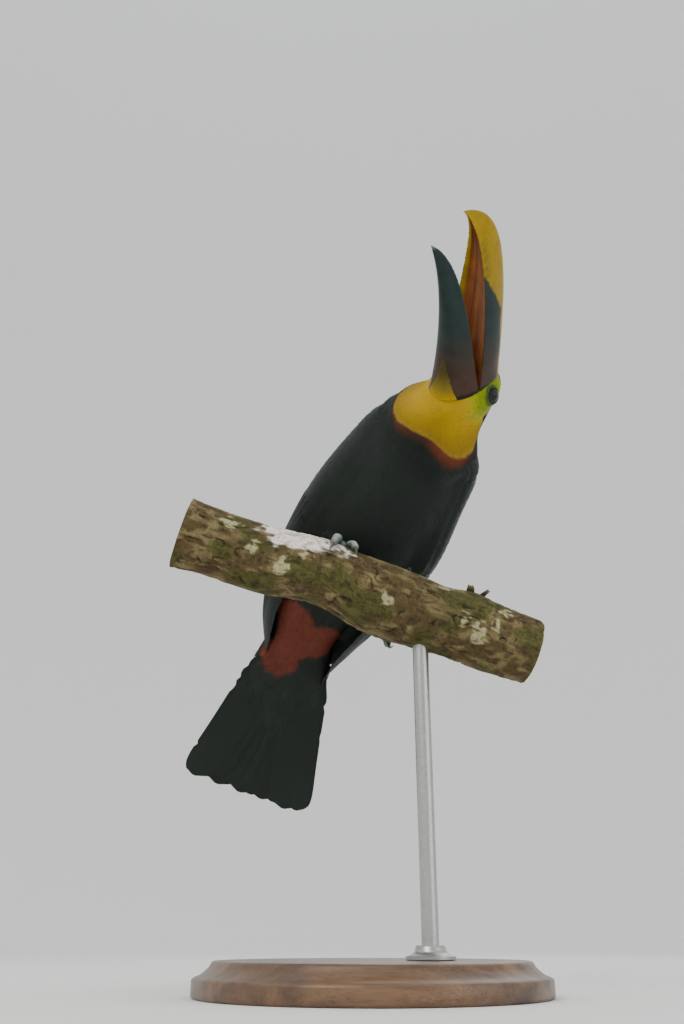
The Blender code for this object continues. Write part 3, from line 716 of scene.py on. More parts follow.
def roots_in_rows(first, last, spacing, gap, low_angle=-math.pi, high_angle=math.pi):
    """Places and angles of feather roots in staggered rows round the body.

    spacing is the distance between rows and gap the distance between feathers in a row, both for
    the place at hand; each root then strays a little from its spot.
    """
    rows = [first]
    while rows[-1] < last:
        rows.append(rows[-1] + spacing(rows[-1]))
    half_width, above, below = stations_at(BODY_STATIONS, np.array(rows))
    girths = (high_angle - low_angle) * (2 * half_width + above + below) / 4
    counts = [max(int(girth / gap(row)), 3) for row, girth in zip(rows, girths)]
    places, angles = staggered(rows, counts, low_angle, high_angle - low_angle)
    places = places + chance.normal(0, 0.16, len(places)) * spacing(places)
    angles = angles + chance.normal(0, 0.16, len(places)) * gap(places) / 0.035
    return places, angles


def marked(colour_at, spread, count):
    """The colours that colour_at gives, a little lighter or darker from vane to vane."""
    shade = chance.normal(1.0, spread, count).clip(0.8, 1.2)[:, None, None]
    return lambda places, angles: colour_at(places, angles) * shade


def body_feathers(name, slot, finish, places, angles):
    """Vanes over the body at given roots, some millimetres long at the bill and longer behind."""
    share = ease(0.262, 0.150, places)
    count = len(places)
    length = (0.0052 + 0.0135 * share) * chance.uniform(0.85, 1.15, count)
    half_width = (0.0011 + 0.0012 * share) * chance.uniform(0.85, 1.15, count)
    turn = chance.normal(0, 0.06, count)
    low = -coat_depth(places, angles) - 0.0002
    high = chance.uniform(-0.00008, 0.00006, count)
    tint = marked(plumage_colour, 0.05, count)
    lay_vanes(name, slot, finish, body_at, places, angles, length, half_width, turn, low, high,
              tint, body_bake(places, angles))


chance = np.random.default_rng(7)
glossy = feather_finish("black_feathers", 0.55, 0.16, 60.0)
silky = feather_finish("silky_feathers", 0.70, 0.16, 40.0)

places, angles = roots_in_rows(
    0.000, 0.226,
    lambda place: 0.0022 + 0.0010 * ease(0.21, 0.13, place),
    lambda place: 0.0018 + 0.0007 * ease(0.21, 0.13, place))
on_belly = off_back(angles) > math.radians(90.0)
for name, chosen in (("belly_feathers", on_belly), ("back_feathers", ~on_belly)):
    body_feathers(name, "black_plumage", glossy, places[chosen], angles[chosen])


def face_gap(place):
    """Spacing of the small feathers from the bib up to the bill."""
    return 0.0011 + 0.0010 * ease(0.262, 0.220, place)


places, angles = roots_in_rows(0.214, SPINE_END + 0.0005, face_gap, face_gap)
feathered = bare_cover(places, angles) < 0.0
places, angles = places[feathered], angles[feathered]
on_throat = off_back(angles) > math.radians(80.0)
for name, slot, chosen in (
        ("throat_feathers", "yellow_plumage", on_throat),
        ("crown_feathers", "black_plumage", ~on_throat)):
    body_feathers(name, slot, silky, places[chosen], angles[chosen])

# ---- Wings ----------------------------------------------------------------------------------
# The folded wings are thin limbs on the flanks, the left one drooping a little off them. Rows of
# short coverts run into one row of long ones, and under these the flight feathers lie stacked,
# the innermost on top, with their tips one behind the other.

WING_GAP = 0.0010
WING_STATIONS = np.array((      # place, half width, height, angles of upper and lower edge, depth
    (-0.034, 0.0310, 0.0190, 54.0, 80.0, 0.0014),
    (-0.015, 0.0355, 0.0225, 38.0, 92.0, 0.0024),
    (0.010, 0.0400, 0.0270, 26.0, 100.0, 0.0034),
    (0.040, 0.0455, 0.0330, 18.0, 108.0, 0.0046),
    (0.080, 0.0505, 0.0405, 14.0, 114.0, 0.0060),
    (0.120, 0.0528, 0.0435, 14.0, 116.0, 0.0072),
    (0.160, 0.0500, 0.0420, 20.0, 116.0, 0.0078),
    (0.190, 0.0460, 0.0382, 38.0, 110.0, 0.0066),
    (0.205, 0.0440, 0.0360, 56.0, 98.0, 0.0034),
))
WING_DROOP = {"left": 0.0085, "right": 0.0}
TIP_TUCK = {"left": 0.0085, "right": 0.0055}      # how far the wing's tip draws in to the tail
QUILL_BLACK = np.array((0.0130, 0.0175, 0.0155))


def droop_at(word, place):
    """How far the drooping wing stands out from the flank at each place, beyond its stations."""
    return WING_DROOP[word] * ease(TRUNK_LENGTH, TRUNK_LENGTH * 0.6, place)


def crown(thickness, share):
    """The height of a wing's crown, which falls to both edges as (1 - |2 share - 1|^2.6)^0.6."""
    return thickness * np.maximum(1 - np.abs(2 * share - 1) ** 2.6, 0.0) ** 0.6


def wing_on(word):
    """The outer surface of a folded wing, by place, share of the way down it, and lift.

    It is the oval bed on the flank, raised by its gap, by its crown and by the lift.
    """
    def wing_at(place, share, lift, inner=False):
        middle, _, left, back = along_spine(place)
        half_width, above, top, bottom, thickness = stations_at(WING_STATIONS, place)
        half_width = half_width + droop_at(word, place)
        half_width = half_width - TIP_TUCK[word] * ease(0.025, -0.040, place)
        angle = np.radians(top + (bottom - top) * share)
        side = np.sin(angle) * half_width
        height = np.cos(angle) * np.where(np.cos(angle) > 0, above, half_width * 0.85)
        outward = unit(np.stack((side / half_width, height / above), axis=-1))
        reach = WING_GAP + lift + np.where(inner, 0.0, 0.0008 + crown(thickness, share))
        side = side + outward[..., 0] * reach
        height = height + outward[..., 1] * reach
        return middle + left * (SIGNS[word] * side)[..., None] + back * height[..., None]

    return wing_at


def wing_skin(word):
    """The limb itself: the outer surface drawn in by the coat, closed along the flank."""
    place, step = crossed(np.linspace(-0.026, 0.203, 80), np.arange(40))
    inner = step >= 20
    share = np.where(inner, 39 - step, step) / 19 * 0.94 + 0.03
    points = wing_on(word)(place, share, np.where(inner, 0.0002, -0.0007), inner)
    limb = loft(f"wing_skin_{word}", [points], bare_skin)
    paint(limb, "marks", BLACK)
    settle(limb, "black_plumage", f"wing_{word}")


def wing_coverts(word):
    """Staggered rows from the bend of the wing back, longer and broader in each row."""
    wing_at = wing_on(word)
    rows, counts = [0.204], []
    while rows[-1] > 0.088:
        row = rows[-1]
        upper, lower = wing_at(np.full(2, row), np.array((0.1, 0.9)), 0.0)
        girth = np.linalg.norm(lower - upper) * 1.35
        counts.append(max(int(girth / (0.0034 + 0.0055 * ease(0.19, 0.09, row))), 3))
        rows.append(row - (0.0036 + 0.0050 * ease(0.18, 0.10, row)))
    place, share = staggered(rows[:-1], counts, 0.0, 1.0, 0.25)
    count = len(place)
    place = place + chance.normal(0, 0.0005, count)
    grown = ease(0.20, 0.09, place)
    length = (0.0100 + 0.0260 * grown) * chance.uniform(0.9, 1.1, count)
    turn = (share - 0.45) * 0.25 + chance.normal(0, 0.04, count)
    high = chance.uniform(-0.0001, 0.0001, count) + 0.0002
    tint = QUILL_BLACK * chance.normal(1.0, 0.12, count)[:, None]
    lay_vanes(f"wing_coverts_{word}", "black_plumage", sleek, wing_at, place, share, length,
              0.0026 + 0.0052 * grown, turn * SIGNS[word], -0.0012, high, tint,
              (share * 0.25 + 0.05, place * 1.5 + 0.4))


def quill(surface_at, root, tip, start, end, half_width, lift, shaft, blunt):
    """One long feather on a surface, from its root place to its tip place.

    Its middle line runs from start to end across the surface. The vane is half_width to each
    side, narrower at the root and closing at the tip as (1 - u^blunt)^(1 / 2), u being how far
    along the last third it is; the shaft is a ridge exp(-(w / 0.07)^2) that thins out. Its edges
    have small splits. Returns points in rows of rings, and their barb coordinates.
    """
    rows, half = 40, 9
    side = np.concatenate((np.linspace(-1, 1, half), np.linspace(1, -1, half)[1:-1]))
    t, across = crossed(np.linspace(0, 1, rows), side)
    top = np.arange(len(side)) < half
    late = np.clip((t - 0.62) / 0.38, 0, 1)
    width = half_width * np.minimum(0.35 + 2.6 * t, 1.0) * np.sqrt(1 - late ** blunt * 0.985)
    splits = 1 - 0.10 * (chance.random((rows, 1)) > 0.86) * (np.abs(across) > 0.99) * (t > 0.15)
    place = root + (tip - root) * t
    line = start + (end - start) * t
    step = 1e-3
    here = surface_at(place, line, 0.0)
    stretch = np.linalg.norm(surface_at(place, line + step, 0.0) - here, axis=-1) / step
    offset = (across * splits + shaft) * width
    rise = lift * np.minimum(t * 4, 1.0) - 0.05 * np.abs(across) ** 2 * width
    ridge = 0.00045 * np.exp(-(across / 0.07) ** 2) * (1 - 0.8 * t)
    rise = rise + np.where(top, 0.00012 + ridge, -0.00012 - ridge * 0.5)
    points = surface_at(place, line + offset / np.maximum(stretch, 1e-4), rise)
    return points, np.stack((across, t * (abs(tip - root) / 0.016)), axis=-1)


def lay_quills(name, made, black, spread, bake_x, bake_y, *nodes):
    """Long feathers joined into one piece, each closed at its root and tip."""
    count = len(made)
    piece = loft(name, [points for points, _ in made], glossy_quills)
    piece.data.set_sharp_from_angle(angle=VANE_CREASE)
    size = made[0][1][..., 0].size + 2
    tint = black * chance.normal(1.0, spread, count)[:, None]
    paint(piece, "marks", np.repeat(tint, size, axis=0))
    local = np.concatenate([with_ends(barbs) for _, barbs in made])
    unwrap(piece, "barbs", local)
    bake = np.stack((np.linspace(*bake_x, count), np.full(count, bake_y)), axis=-1)
    patch = np.stack((local[:, 0] * 0.5, local[:, 1] / local[:, 1].max() - 0.5), axis=-1)
    unwrap(piece, "OFBake", np.repeat(bake, size, axis=0) + PATCH * patch)
    settle(piece, "black_plumage", *nodes)


def wing_quills(word):
    """Primaries along the lower edge, then secondaries and tertials over them."""
    wing_at = wing_on(word)
    primaries = [
        quill(wing_at, 0.095, -0.0450 + 0.0090 * share, 0.95 - 0.05 * share, 1.34 - 0.56 * share,
              0.0095, -0.0012 + 0.0010 * share, 0.15, 2.6)
        for share in np.arange(7) / 6]
    secondaries = [
        quill(wing_at, 0.108, -0.0260 + 0.0520 * share, 0.86 - 0.70 * share, 0.66 - 0.46 * share,
              0.0080 + 0.0020 * share, -0.0004 + 0.0022 * share, 0.20, 2.8)
        for share in np.arange(10) / 9]
    lay_quills(f"flight_feathers_{word}", primaries + secondaries, QUILL_BLACK, 0.08,
               (0.4, 0.6), 0.6)


def over_wing(word):
    """The body's surface, raised to the folded wing's crown between the wing's edges.

    There the lift is that of the crown and 4.1 mm more, and it falls to nothing over 16 degrees
    outside the edges and over 18 mm ahead of the bend of the wing.
    """
    def surface_at(place, angle, lift):
        top, bottom, thickness = stations_at(WING_STATIONS, place)[2:]
        degrees = np.degrees(angle) * SIGNS[word]
        share = np.clip((degrees - top) / (bottom - top), 0.0, 1.0)
        raised = 0.0041 + crown(thickness, share) + droop_at(word, place) * np.abs(np.sin(angle))
        near = ease(bottom + 16, bottom + 1, degrees) * ease(top - 16, top - 1, degrees)
        return body_at(place, angle, lift + raised * (near * ease(0.222, 0.204, place)))

    return surface_at


def seam_feathers(word):
    """Feathers of the flank, back and shoulder that lie over the folded wing's three edges."""
    row, step = crossed(np.arange(0.028, 0.204, 0.0030), np.arange(8))
    top, bottom = stations_at(WING_STATIONS, row)[2:4]
    front, across = crossed(np.arange(0.206, 0.224, 0.0024), np.arange(42.0, 116.0, 3.4))
    place = np.concatenate((row.ravel(), row.ravel(), front.ravel()))
    degrees = np.concatenate((
        (bottom + 22.0 - 2.8 * step).ravel(), (top - 20.0 + 2.6 * step).ravel(), across.ravel()))
    turn = np.concatenate((
        np.full(row.size, -0.34), np.full(row.size, 0.26), (across.ravel() - 78.0) * 0.003))
    count = len(place)
    place = place + chance.normal(0, 0.0005, count)
    degrees = degrees + chance.normal(0, 0.5, count)
    grown = ease(0.215, 0.15, place)
    length = (0.0085 + 0.0115 * grown) * chance.uniform(0.9, 1.1, count)
    angle = np.radians(degrees) * SIGNS[word]
    tint = marked(plumage_colour, 0.05, count)
    turn = turn * SIGNS[word] + chance.normal(0, 0.05, count)
    lay_vanes(f"flank_feathers_{word}", "black_plumage", glossy, over_wing(word), place, angle,
              length, 0.0015 + 0.0009 * grown, turn, -0.0016,
              chance.uniform(0.0002, 0.0006, count), tint, body_bake(place, angle))


glossy_quills = feather_finish("flight_feathers", 0.44, 0.09, 160.0)
sleek = feather_finish("wing_coverts", 0.42, 0.16, 70.0)
for word in SIGNS:
    wing_skin(word)
    wing_coverts(word)
    wing_quills(word)
    seam_feathers(word)

# ---- Tail -----------------------------------------------------------------------------------
# Ten long feathers fan out flat from the rump, the middle pair on top and each pair beyond lying
# under the last. White coverts cover their roots above, and soft coverts cover them below, black
# but for the red tuft.

TAIL_CAMBER = 0.0060
TAIL_END_ROUND = 0.0070
TAIL_COVERTS = (        # name, slot, angles in degrees, places, length, half width and taper
    ("vent_feathers", "black_plumage", (64.0, 262.0), (-0.040, 0.038), 0.0170, 0.0022, 0.55),
    ("under_tail_feathers", "black_plumage", (98.0, 262.0), (-0.072, -0.034), 0.0400, 0.0040, 0.15),
    ("rump_feathers", "yellow_plumage", (-100.0, 50.0), (-0.020, 0.022), 0.0230, 0.0034, 0.55),
)


def tail_at(place, across, lift):
    """The fan's middle surface; its edges bend down and its corners stand forward as across^2."""
    middle, way, left, back = along_spine(place)
    half_width, _, _ = stations_at(BODY_STATIONS, place)
    out = ease(-0.03, -TAIL_LENGTH, place)
    down = lift - TAIL_CAMBER * out * across**2
    forward = TAIL_END_ROUND * out**4 * across**2
    middle = middle + way * np.minimum(place + TAIL_LENGTH, 0.0)[..., None]
    fan = left * (half_width * across)[..., None]
    return middle + fan + back * down[..., None] + way * forward[..., None]


def tail_quills():
    """Outer pairs first, each a little lower than the next."""
    made = []
    for pair in (4, 3, 2, 1, 0):
        for sign in (-1, 1):
            share = (pair + 0.45) / 4.45
            made.append(quill(tail_at, -0.012, -TAIL_LENGTH + chance.uniform(-0.0035, 0.0035),
                              sign * share * 0.62, sign * share * 0.76, 0.0165,
                              0.0012 - 0.00055 * pair + 0.0001 * sign, sign * -0.10, 7.0))
    # The tail feathers carry the lighter black that is painted for the backlight.
    lay_quills("tail_feathers", made, BACKLIT_TAIL_BLACK, 0.06, (0.7, 0.9), 0.1, "tail")


def tail_coverts(name, slot, between, rows, length, half_width, taper):
    """Long soft vanes over the roots of the tail feathers, standing off a little at random.

    taper is the share of the body's depth by which they sink where the body runs out in the tail.
    """
    between = np.radians(between)
    places, angles = roots_in_rows(*rows, lambda place: 0.0034, lambda place: 0.0028, *between)
    count = len(places)
    length = length * chance.uniform(0.70, 1.20, count)
    sunk = taper * stations_at(BODY_STATIONS, places)[2] * ease(-0.020, -0.040, places)
    half_width = half_width * chance.uniform(0.85, 1.15, count)
    turn = chance.normal(0, 0.08, count)
    high = chance.uniform(0.0, 0.0010, count) - sunk

    def colour_at(place, angle):
        return plumage_colour(place, np.clip(angle, *between))

    lay_vanes(name, slot, silky, body_at, places, angles, length, half_width, turn, -0.0020 - sunk,
              high, marked(colour_at, 0.07, count), (body_bake(places, angles)[0], places + 0.2))


tail_quills()
for coverts in TAIL_COVERTS:
    tail_coverts(*coverts)

# ---- Bill -----------------------------------------------------------------------------------
# Two hollow horn sheaths, light and thin, joined at the gape. The upper is yellow with a dark
# triangle from its base and small teeth along its edges, the lower slate and chestnut. The head's
# skin runs up to both, and a wedge of it reaches out under the chin.

LOWER_NARROWING = (0.80, 1.0)
UPPER_TIP = np.array((0.1370, -0.0200))
UPPER_TOMIUM = np.array(((0.0, 0.0), (0.0800, 0.0), (0.1270, -0.0020), UPPER_TIP))
UPPER_CULMEN = np.array(((0.0020, 0.0325), (0.0500, 0.0270), (0.1362, 0.0365), UPPER_TIP))
LOWER_TIP = np.array((0.1265, -0.0185))
LOWER_TOMIUM = np.array(((0.0, 0.0), (0.0500, 0.0), (0.1085, 0.0045), LOWER_TIP))
LOWER_KEEL = np.array(((0.0015, -0.0275), (0.0250, -0.0175), (0.0850, -0.0080), LOWER_TIP))
BILL_HALF_WIDTH = 0.0190
BILL_YELLOW = np.array((0.310, 0.198, 0.0010))
TIP_ORANGE = np.array((0.350, 0.214, 0.0010))
CULMEN_YELLOW = np.array((0.480, 0.460, 0.0040))
SLATE = np.array((0.0160, 0.0290, 0.0270))
CHESTNUT = np.array((0.0600, 0.0290, 0.0190))
PALATE_RUST = np.array((0.3000, 0.0920, 0.0160))
TOOTH_OLIVE = np.array((0.1100, 0.0850, 0.0150))
PALATE_DARK = np.array((0.1100, 0.0300, 0.0110))
BASE_BLACK = np.array((0.0100, 0.0090, 0.0080))
# A painted highlight for the very tip of the lower sheath.
TIP_HIGHLIGHT = np.array((0.330, 0.320, 0.2800))
TOOTH_STAINS = (                          # reach and size of the olive stains over the teeth
    (0.0895, 0.0030), (0.0950, 0.0032), (0.1010, 0.0030), (0.1070, 0.0026), (0.1125, 0.0020))
CHIN_REACH = 0.0375
CHIN_MIDDLE = math.pi / 2 - math.radians(13.0)
CHIN_SPREAD = math.radians(33.0)
CHIN_SHADE = np.array((0.075, 0.055, 0.012))
CHIN_OLIVE = np.array((0.210, 0.155, 0.014))


def bezier(points, t):
    """The cubic curve through four control points in the plane of the bill."""
    t = t[..., None]
    return (points[0] * (1 - t) ** 3 + points[1] * 3 * (1 - t) ** 2 * t
            + points[2] * 3 * (1 - t) * t**2 + points[3] * t**3)


def in_bill(x, side, z, opened):
    """A point given by its reach, side and height in a half of the bill, opened by an angle."""
    return in_head(x * math.cos(opened) + z * math.sin(opened), side,
                   z * math.cos(opened) - x * math.sin(opened))


def bill_width(out, reach, narrowing, power, closing=1.0):
    """Half width: the base's * (1 - narrowing * out^power), flared a little over the first 6 mm."""
    half_width = BILL_HALF_WIDTH * (1 - narrowing * out ** power) * closing
    return half_width * (1 + 0.05 * np.exp(-reach / 0.006))


def round_side(angle):
    """How far out a side stands at an angle over it: cos(a) * |cos(a)|^-0.12."""
    return np.sign(np.cos(angle)) * np.abs(np.cos(angle)) ** 0.88


def sheath(name, tomium, ridge, hollow_depth, narrowing, opened, sign, base_edge, teeth, colours):
    """One half of the bill, painted by the reach, rise, side and kind of its points.

    The outer half of a ring runs from one edge over the ridge to the other, its rise being sin(a)
    as a goes from 0 to pi. The inner half returns across a hollow. The width closes at the tip as
    sqrt(1 - out^7), out being the share of the reach; base_edge moves the sheath's own rim along
    it, and teeth notch both edges.
    """
    outer, inner = 97, 40
    t = 0.985 * np.linspace(0, 1, 200) ** 0.92
    edge, crest = bezier(tomium, t), bezier(ridge, t)
    out = edge[:, 0] / tomium[3, 0]
    half_width = bill_width(out, edge[:, 0], *narrowing, np.sqrt(np.maximum(1 - out**7, 0.0)))
    depth = np.linalg.norm(crest - edge, axis=1)
    hollow = (np.minimum(hollow_depth / depth, 0.4) * (1 - t**3))[:, None]
    angle = np.linspace(0, math.pi, outer)
    side_in = 2 * np.arange(1, inner) / inner - 1
    grooves = 0.025 * np.cos(side_in * 16.0) * (1 - side_in**2)
    _, side = crossed(t, np.concatenate((round_side(angle), side_in)))
    _, inside = crossed(t, np.arange(outer + inner - 1) >= outer)
    _, rise_out = crossed(t, np.sin(angle))
    rise = np.concatenate((rise_out, hollow * (1 - side_in**2 + grooves)), axis=1)
    notch = np.exp(-((1 - np.abs(side)) / 0.10) ** 2) * teeth(edge[:, 0])[:, None]
    x = edge[:, :1] + (crest[:, :1] - edge[:, :1]) * rise
    z = edge[:, 1:] + (crest[:, 1:] - edge[:, 1:]) * rise + sign * (0.0003 + notch)
    x = x + base_edge(rise) * (1 - inside) * (1 - t[:, None]) ** 12
    piece = loft(f"{name}_bill", [in_bill(x, side * half_width[:, None], z, opened)], horn)
    shell, mouth = colours(x, rise, side)
    paint(piece, "marks", with_ends(np.where(inside[..., None], mouth, shell)))
    settle(piece, f"{name}_horn", f"{name}_mandible")


def horn_finish():
    """Smooth keratin: a painted colour, cloudy growth bands across it and hair-fine scratches."""
    finish = Finish("bill_horn", 0.36, Specular_IOR_Level=0.15)
    place = finish.place()
    cloud = finish.noise(place, 95.0, 4.0, Roughness=0.6)
    scratches = finish.noise(place, 900.0)
    finish.link(Base_Color=finish.marks(cloud, 0.80, 1.14),
                Roughness=finish.levels(scratches, 0.29, 0.48))
    finish.bump(finish.reckon("MULTIPLY_ADD", cloud, 2.0, scratches), 0.25, 0.0003)
    return finish


def upper_teeth(x):
    """Notches that open backwards, deepest in the middle of the edge and of uneven pitch."""
    phase = x / 0.0052 + 0.35 * np.sin(x * 310.0)
    return 0.0007 * np.mod(phase, 1.0) * ease(0.030, 0.060, x) * ease(0.130, 0.112, x)


def upper_colours(x, rise, side):
    """Yellow, with the dark triangle: rise below 0.69 and x short of 0.0888 - 0.045 * rise."""
    ripple = 0.0007 * np.sin(rise * 19.0) + 0.0004 * np.sin(rise * 47.0 + side)
    colour = mix(BILL_YELLOW, TIP_ORANGE, ease(0.085, 0.125, x))
    colour = mix(colour, CULMEN_YELLOW, ease(0.80, 0.97, rise) * ease(0.115, 0.080, x))
    front = ease(0.0018, -0.0018, x - (0.0888 - 0.045 * np.maximum(rise - 0.05, 0) + ripple))
    top = ease(0.735, 0.665, rise + 0.03 * np.sin(x * 160.0))
    dark = mix(SLATE, CHESTNUT, ease(0.050, 0.012, x) * 0.75)
    colour = mix(colour, dark, front * top)
    for place, size in TOOTH_STAINS:
        across = (x - place - 0.014 * (rise - 0.15)) / (size * np.clip(0.25 + rise * 3, 0.2, 1.0))
        wedge = np.exp(-across**2) * ease(0.0, 0.06, rise) * ease(0.40, 0.12, rise)
        colour = mix(colour, TOOTH_OLIVE, wedge * 0.55)
    colour = mix(colour, BASE_BLACK, ease(0.0028, 0.0014, x - 0.0020 * rise))
    streak = 0.45 + 0.30 * np.cos(side * 9.0 + 1.6 * np.sin(x * 41.0) + 1.0)
    streak = streak + 0.25 * np.cos(side * 31.0 + 2.2 * np.sin(x * 63.0))
    palate = mix(PALATE_RUST, PALATE_DARK, streak * 0.75)
    palate = mix(palate, PALATE_DARK * 0.8, ease(0.090, 0.120, x) * 0.8)
    far = ease(0.62, 0.80, -side) * ease(0.045, 0.075, x)
    far = far + ease(0.93, 0.98, side) * ease(0.088, 0.094, x)
    return colour, mix(palate, BILL_YELLOW, far)


def lower_colours(x, rise, _):
    """Slate towards the tip and chestnut at the base, with a painted highlight on the very tip."""
    colour = mix(SLATE * 1.15, CHESTNUT, ease(0.062, 0.010, x) * 0.9)
    # Painted highlight: the last few millimetres of the lower sheath are made pale.
    colour = mix(colour, TIP_HIGHLIGHT, ease(0.1215, 0.1260, x) * 0.8)
    colour = mix(colour, SLATE * 2.6, ease(0.10, 0.0, rise) * ease(0.030, 0.060, x) * 0.35)
    colour = mix(colour, BASE_BLACK, ease(0.0026, 0.0012, x - 0.0015 * rise))
    return colour, mix(PALATE_DARK, SLATE, ease(0.020, 0.070, x))


def chin_at(reach, share, lift):
    """The underside of the lower sheath, by its reach and by share across the wedge of skin.

    The wedge's half angle is CHIN_SPREAD * (1 - reach / CHIN_REACH), none at its point.
    """
    t = np.clip(reach / 0.115, 0.0, 1.0)
    edge, crest = bezier(LOWER_TOMIUM, t), bezier(LOWER_KEEL, t)
    half_width = bill_width(edge[..., 0] / LOWER_TIP[0], edge[..., 0], *LOWER_NARROWING) + lift
    angle = CHIN_MIDDLE + CHIN_SPREAD * share * (1 - np.clip(reach / CHIN_REACH, 0, 1))
    rise = np.sin(angle)
    x, z = np.moveaxis(edge + (crest - edge) * rise[..., None], -1, 0)
    return in_bill(x, round_side(angle) * half_width, z - 0.0003 - lift * rise, GAPE_ANGLE)


def chin_feathers():
    """Short olive bristles that lie back from the wedge's point over the throat, painted darker
    towards the point for the shade under the bill.
    """
    rows = np.arange(0.0012, CHIN_REACH - 0.001, 0.0009)
    counts = [max(int(26 * (1 - row / CHIN_REACH)), 1) for row in rows]
    place, share = staggered(rows, counts, -1, 2, 0.3, 0.4)
    count = len(place)
    place = place + chance.normal(0, 0.0002, count)
    # Painted shade: darkest towards the wedge's point, under the bill, and golden where the
    # bristles meet the bib.
    olive = mix(CHIN_SHADE, CHIN_OLIVE, ease(0.030, 0.012, place))
    olive = mix(olive, GOLD, ease(0.016, 0.002, place))
    tint = olive * chance.normal(1.0, 0.08, count)[:, None]
    length = chance.uniform(0.0035, 0.0048, count)
    half_width = 0.0009 - 0.0005 * ease(0.020, 0.036, place)
    lay_vanes("chin_feathers", "yellow_plumage", silky, chin_at, place, share, length, half_width,
              chance.normal(0, 0.08, count), -0.0003, 0.0005, tint,
              (0.5 + share * 0.05, 0.95 + place))


horn = horn_finish()
sheath("upper", UPPER_TOMIUM, UPPER_CULMEN, 0.0045, (0.95, 1.9), 0.0, 1,
       lambda rise: 0.0022 * np.sin(math.pi * rise) - 0.0030 * rise**4, upper_teeth, upper_colours)
sheath("lower", LOWER_TOMIUM, LOWER_KEEL, 0.0050, LOWER_NARROWING, GAPE_ANGLE, -1,
       lambda rise: -0.0008 * np.sin(math.pi * rise), lambda x: 0.45 * upper_teeth(x + 0.002),
       lower_colours)
chin_feathers()

# ---- Tongue ---------------------------------------------------------------------------------
# A long thin flat tongue lies in the lower half of the bill, frayed along both sides. Its half
# width is 0.0040 (1 - 0.75 t) and its thickness 0.0012 (1 - 0.45 t).

t, turn = crossed(np.linspace(0, 1, 160), full_turn(24))
fray = 1 + 0.10 * np.sin(t * 420.0) * np.cos(turn) ** 8 * ease(0.2, 0.5, t)
side = 0.0040 * (1 - 0.75 * t) * np.cos(turn) * fray
high = -0.0024 + 0.0020 * t - 0.0032 * t**3 + 0.0012 * (1 - 0.45 * t) * np.sin(turn)
flesh = Finish("tongue_skin", 0.40, Coat_Weight=0.3, Subsurface_Weight=0.1)
flesh.link(Base_Color=flesh.ramp(
    flesh.noise(flesh.place(), 600.0), (0.13, 0.03, 0.02), (0.34, 0.10, 0.07)))
tongue = loft("tongue_blade", [in_bill(0.004 + 0.0860 * t, side, high, GAPE_ANGLE)], flesh)
settle(tongue, "mouth_flesh", "tongue")

# ---- Eyes and lids --------------------------------------------------------------------------
# Dark eyes, clear and wet, each held by two wrinkled lids that meet in a ring of grey-green skin.

EYE_RADIUS = 0.0074
LID_OPENING = 0.0061
LID_GREEN = np.array((0.080, 0.125, 0.032))
PUPIL = np.array((0.0015, 0.0015, 0.0018))
IRIS = np.array((0.0090, 0.0065, 0.0045))
EYE_RIM = np.array((0.012, 0.011, 0.008))


def round_axis(turn, ahead, up, radius):
    """Steps of a radius off an axis, turned round it from ahead to up."""
    return (radius * np.cos(turn))[..., None] * ahead + (radius * np.sin(turn))[..., None] * up


def eyeball(word):
    """A ball whose clear front bulges: radius * (1 + 0.06 exp(-(a / 0.75)^2)), a off the axis."""
    centre, look, ahead, up = eye_frame(SIGNS[word])
    away, turn = crossed(np.linspace(0.02, math.pi - 0.02, 60), full_turn(64))
    radius = EYE_RADIUS * (1 + 0.06 * np.exp(-(away / 0.75) ** 2))
    points = centre + (radius * np.cos(away))[..., None] * look
    points = points + round_axis(turn, ahead, up, radius * np.sin(away))
    ball = loft(f"eyeball_{word}", [points], wet)
    spokes = 1 + 0.25 * np.sin(turn * 37.0) * np.sin(turn * 23.0 + away * 9.0)
    colour = mix(PUPIL, IRIS * spokes[..., None], ease(0.44, 0.50, away))
    paint(ball, "marks", with_ends(mix(colour, EYE_RIM, ease(0.74, 0.86, away))))
    settle(ball, "eye_gloss", f"eye_{word}")


def face_under(points, ahead, up, place, angle):
    """Where the face lies under points, square to ahead and up, by six rounds of Newton's method.

    The unknowns are a place, no further than the bill's base, and an angle of the body; the two
    misses are those along ahead and up. The angle takes up what the bounded place leaves of them.
    """
    step = 1e-5
    for _ in range(6):
        here = body_at(place, angle, 0.0)
        by_place = (here - body_at(place - step, angle, 0.0)) / step
        by_angle = (body_at(place, angle + step, 0.0) - here) / step
        miss = points - here
        a, b = by_place @ ahead, by_angle @ ahead
        c, d = by_place @ up, by_angle @ up
        e, f = miss @ ahead, miss @ up
        moved = np.clip(place + (d * e - b * f) / (a * d - b * c), 0.20, SPINE_END) - place
        place = place + moved
        angle = angle + (b * (e - a * moved) + d * (f - c * moved)) / (b * b + d * d)
    return body_at(place, angle, 0.0)


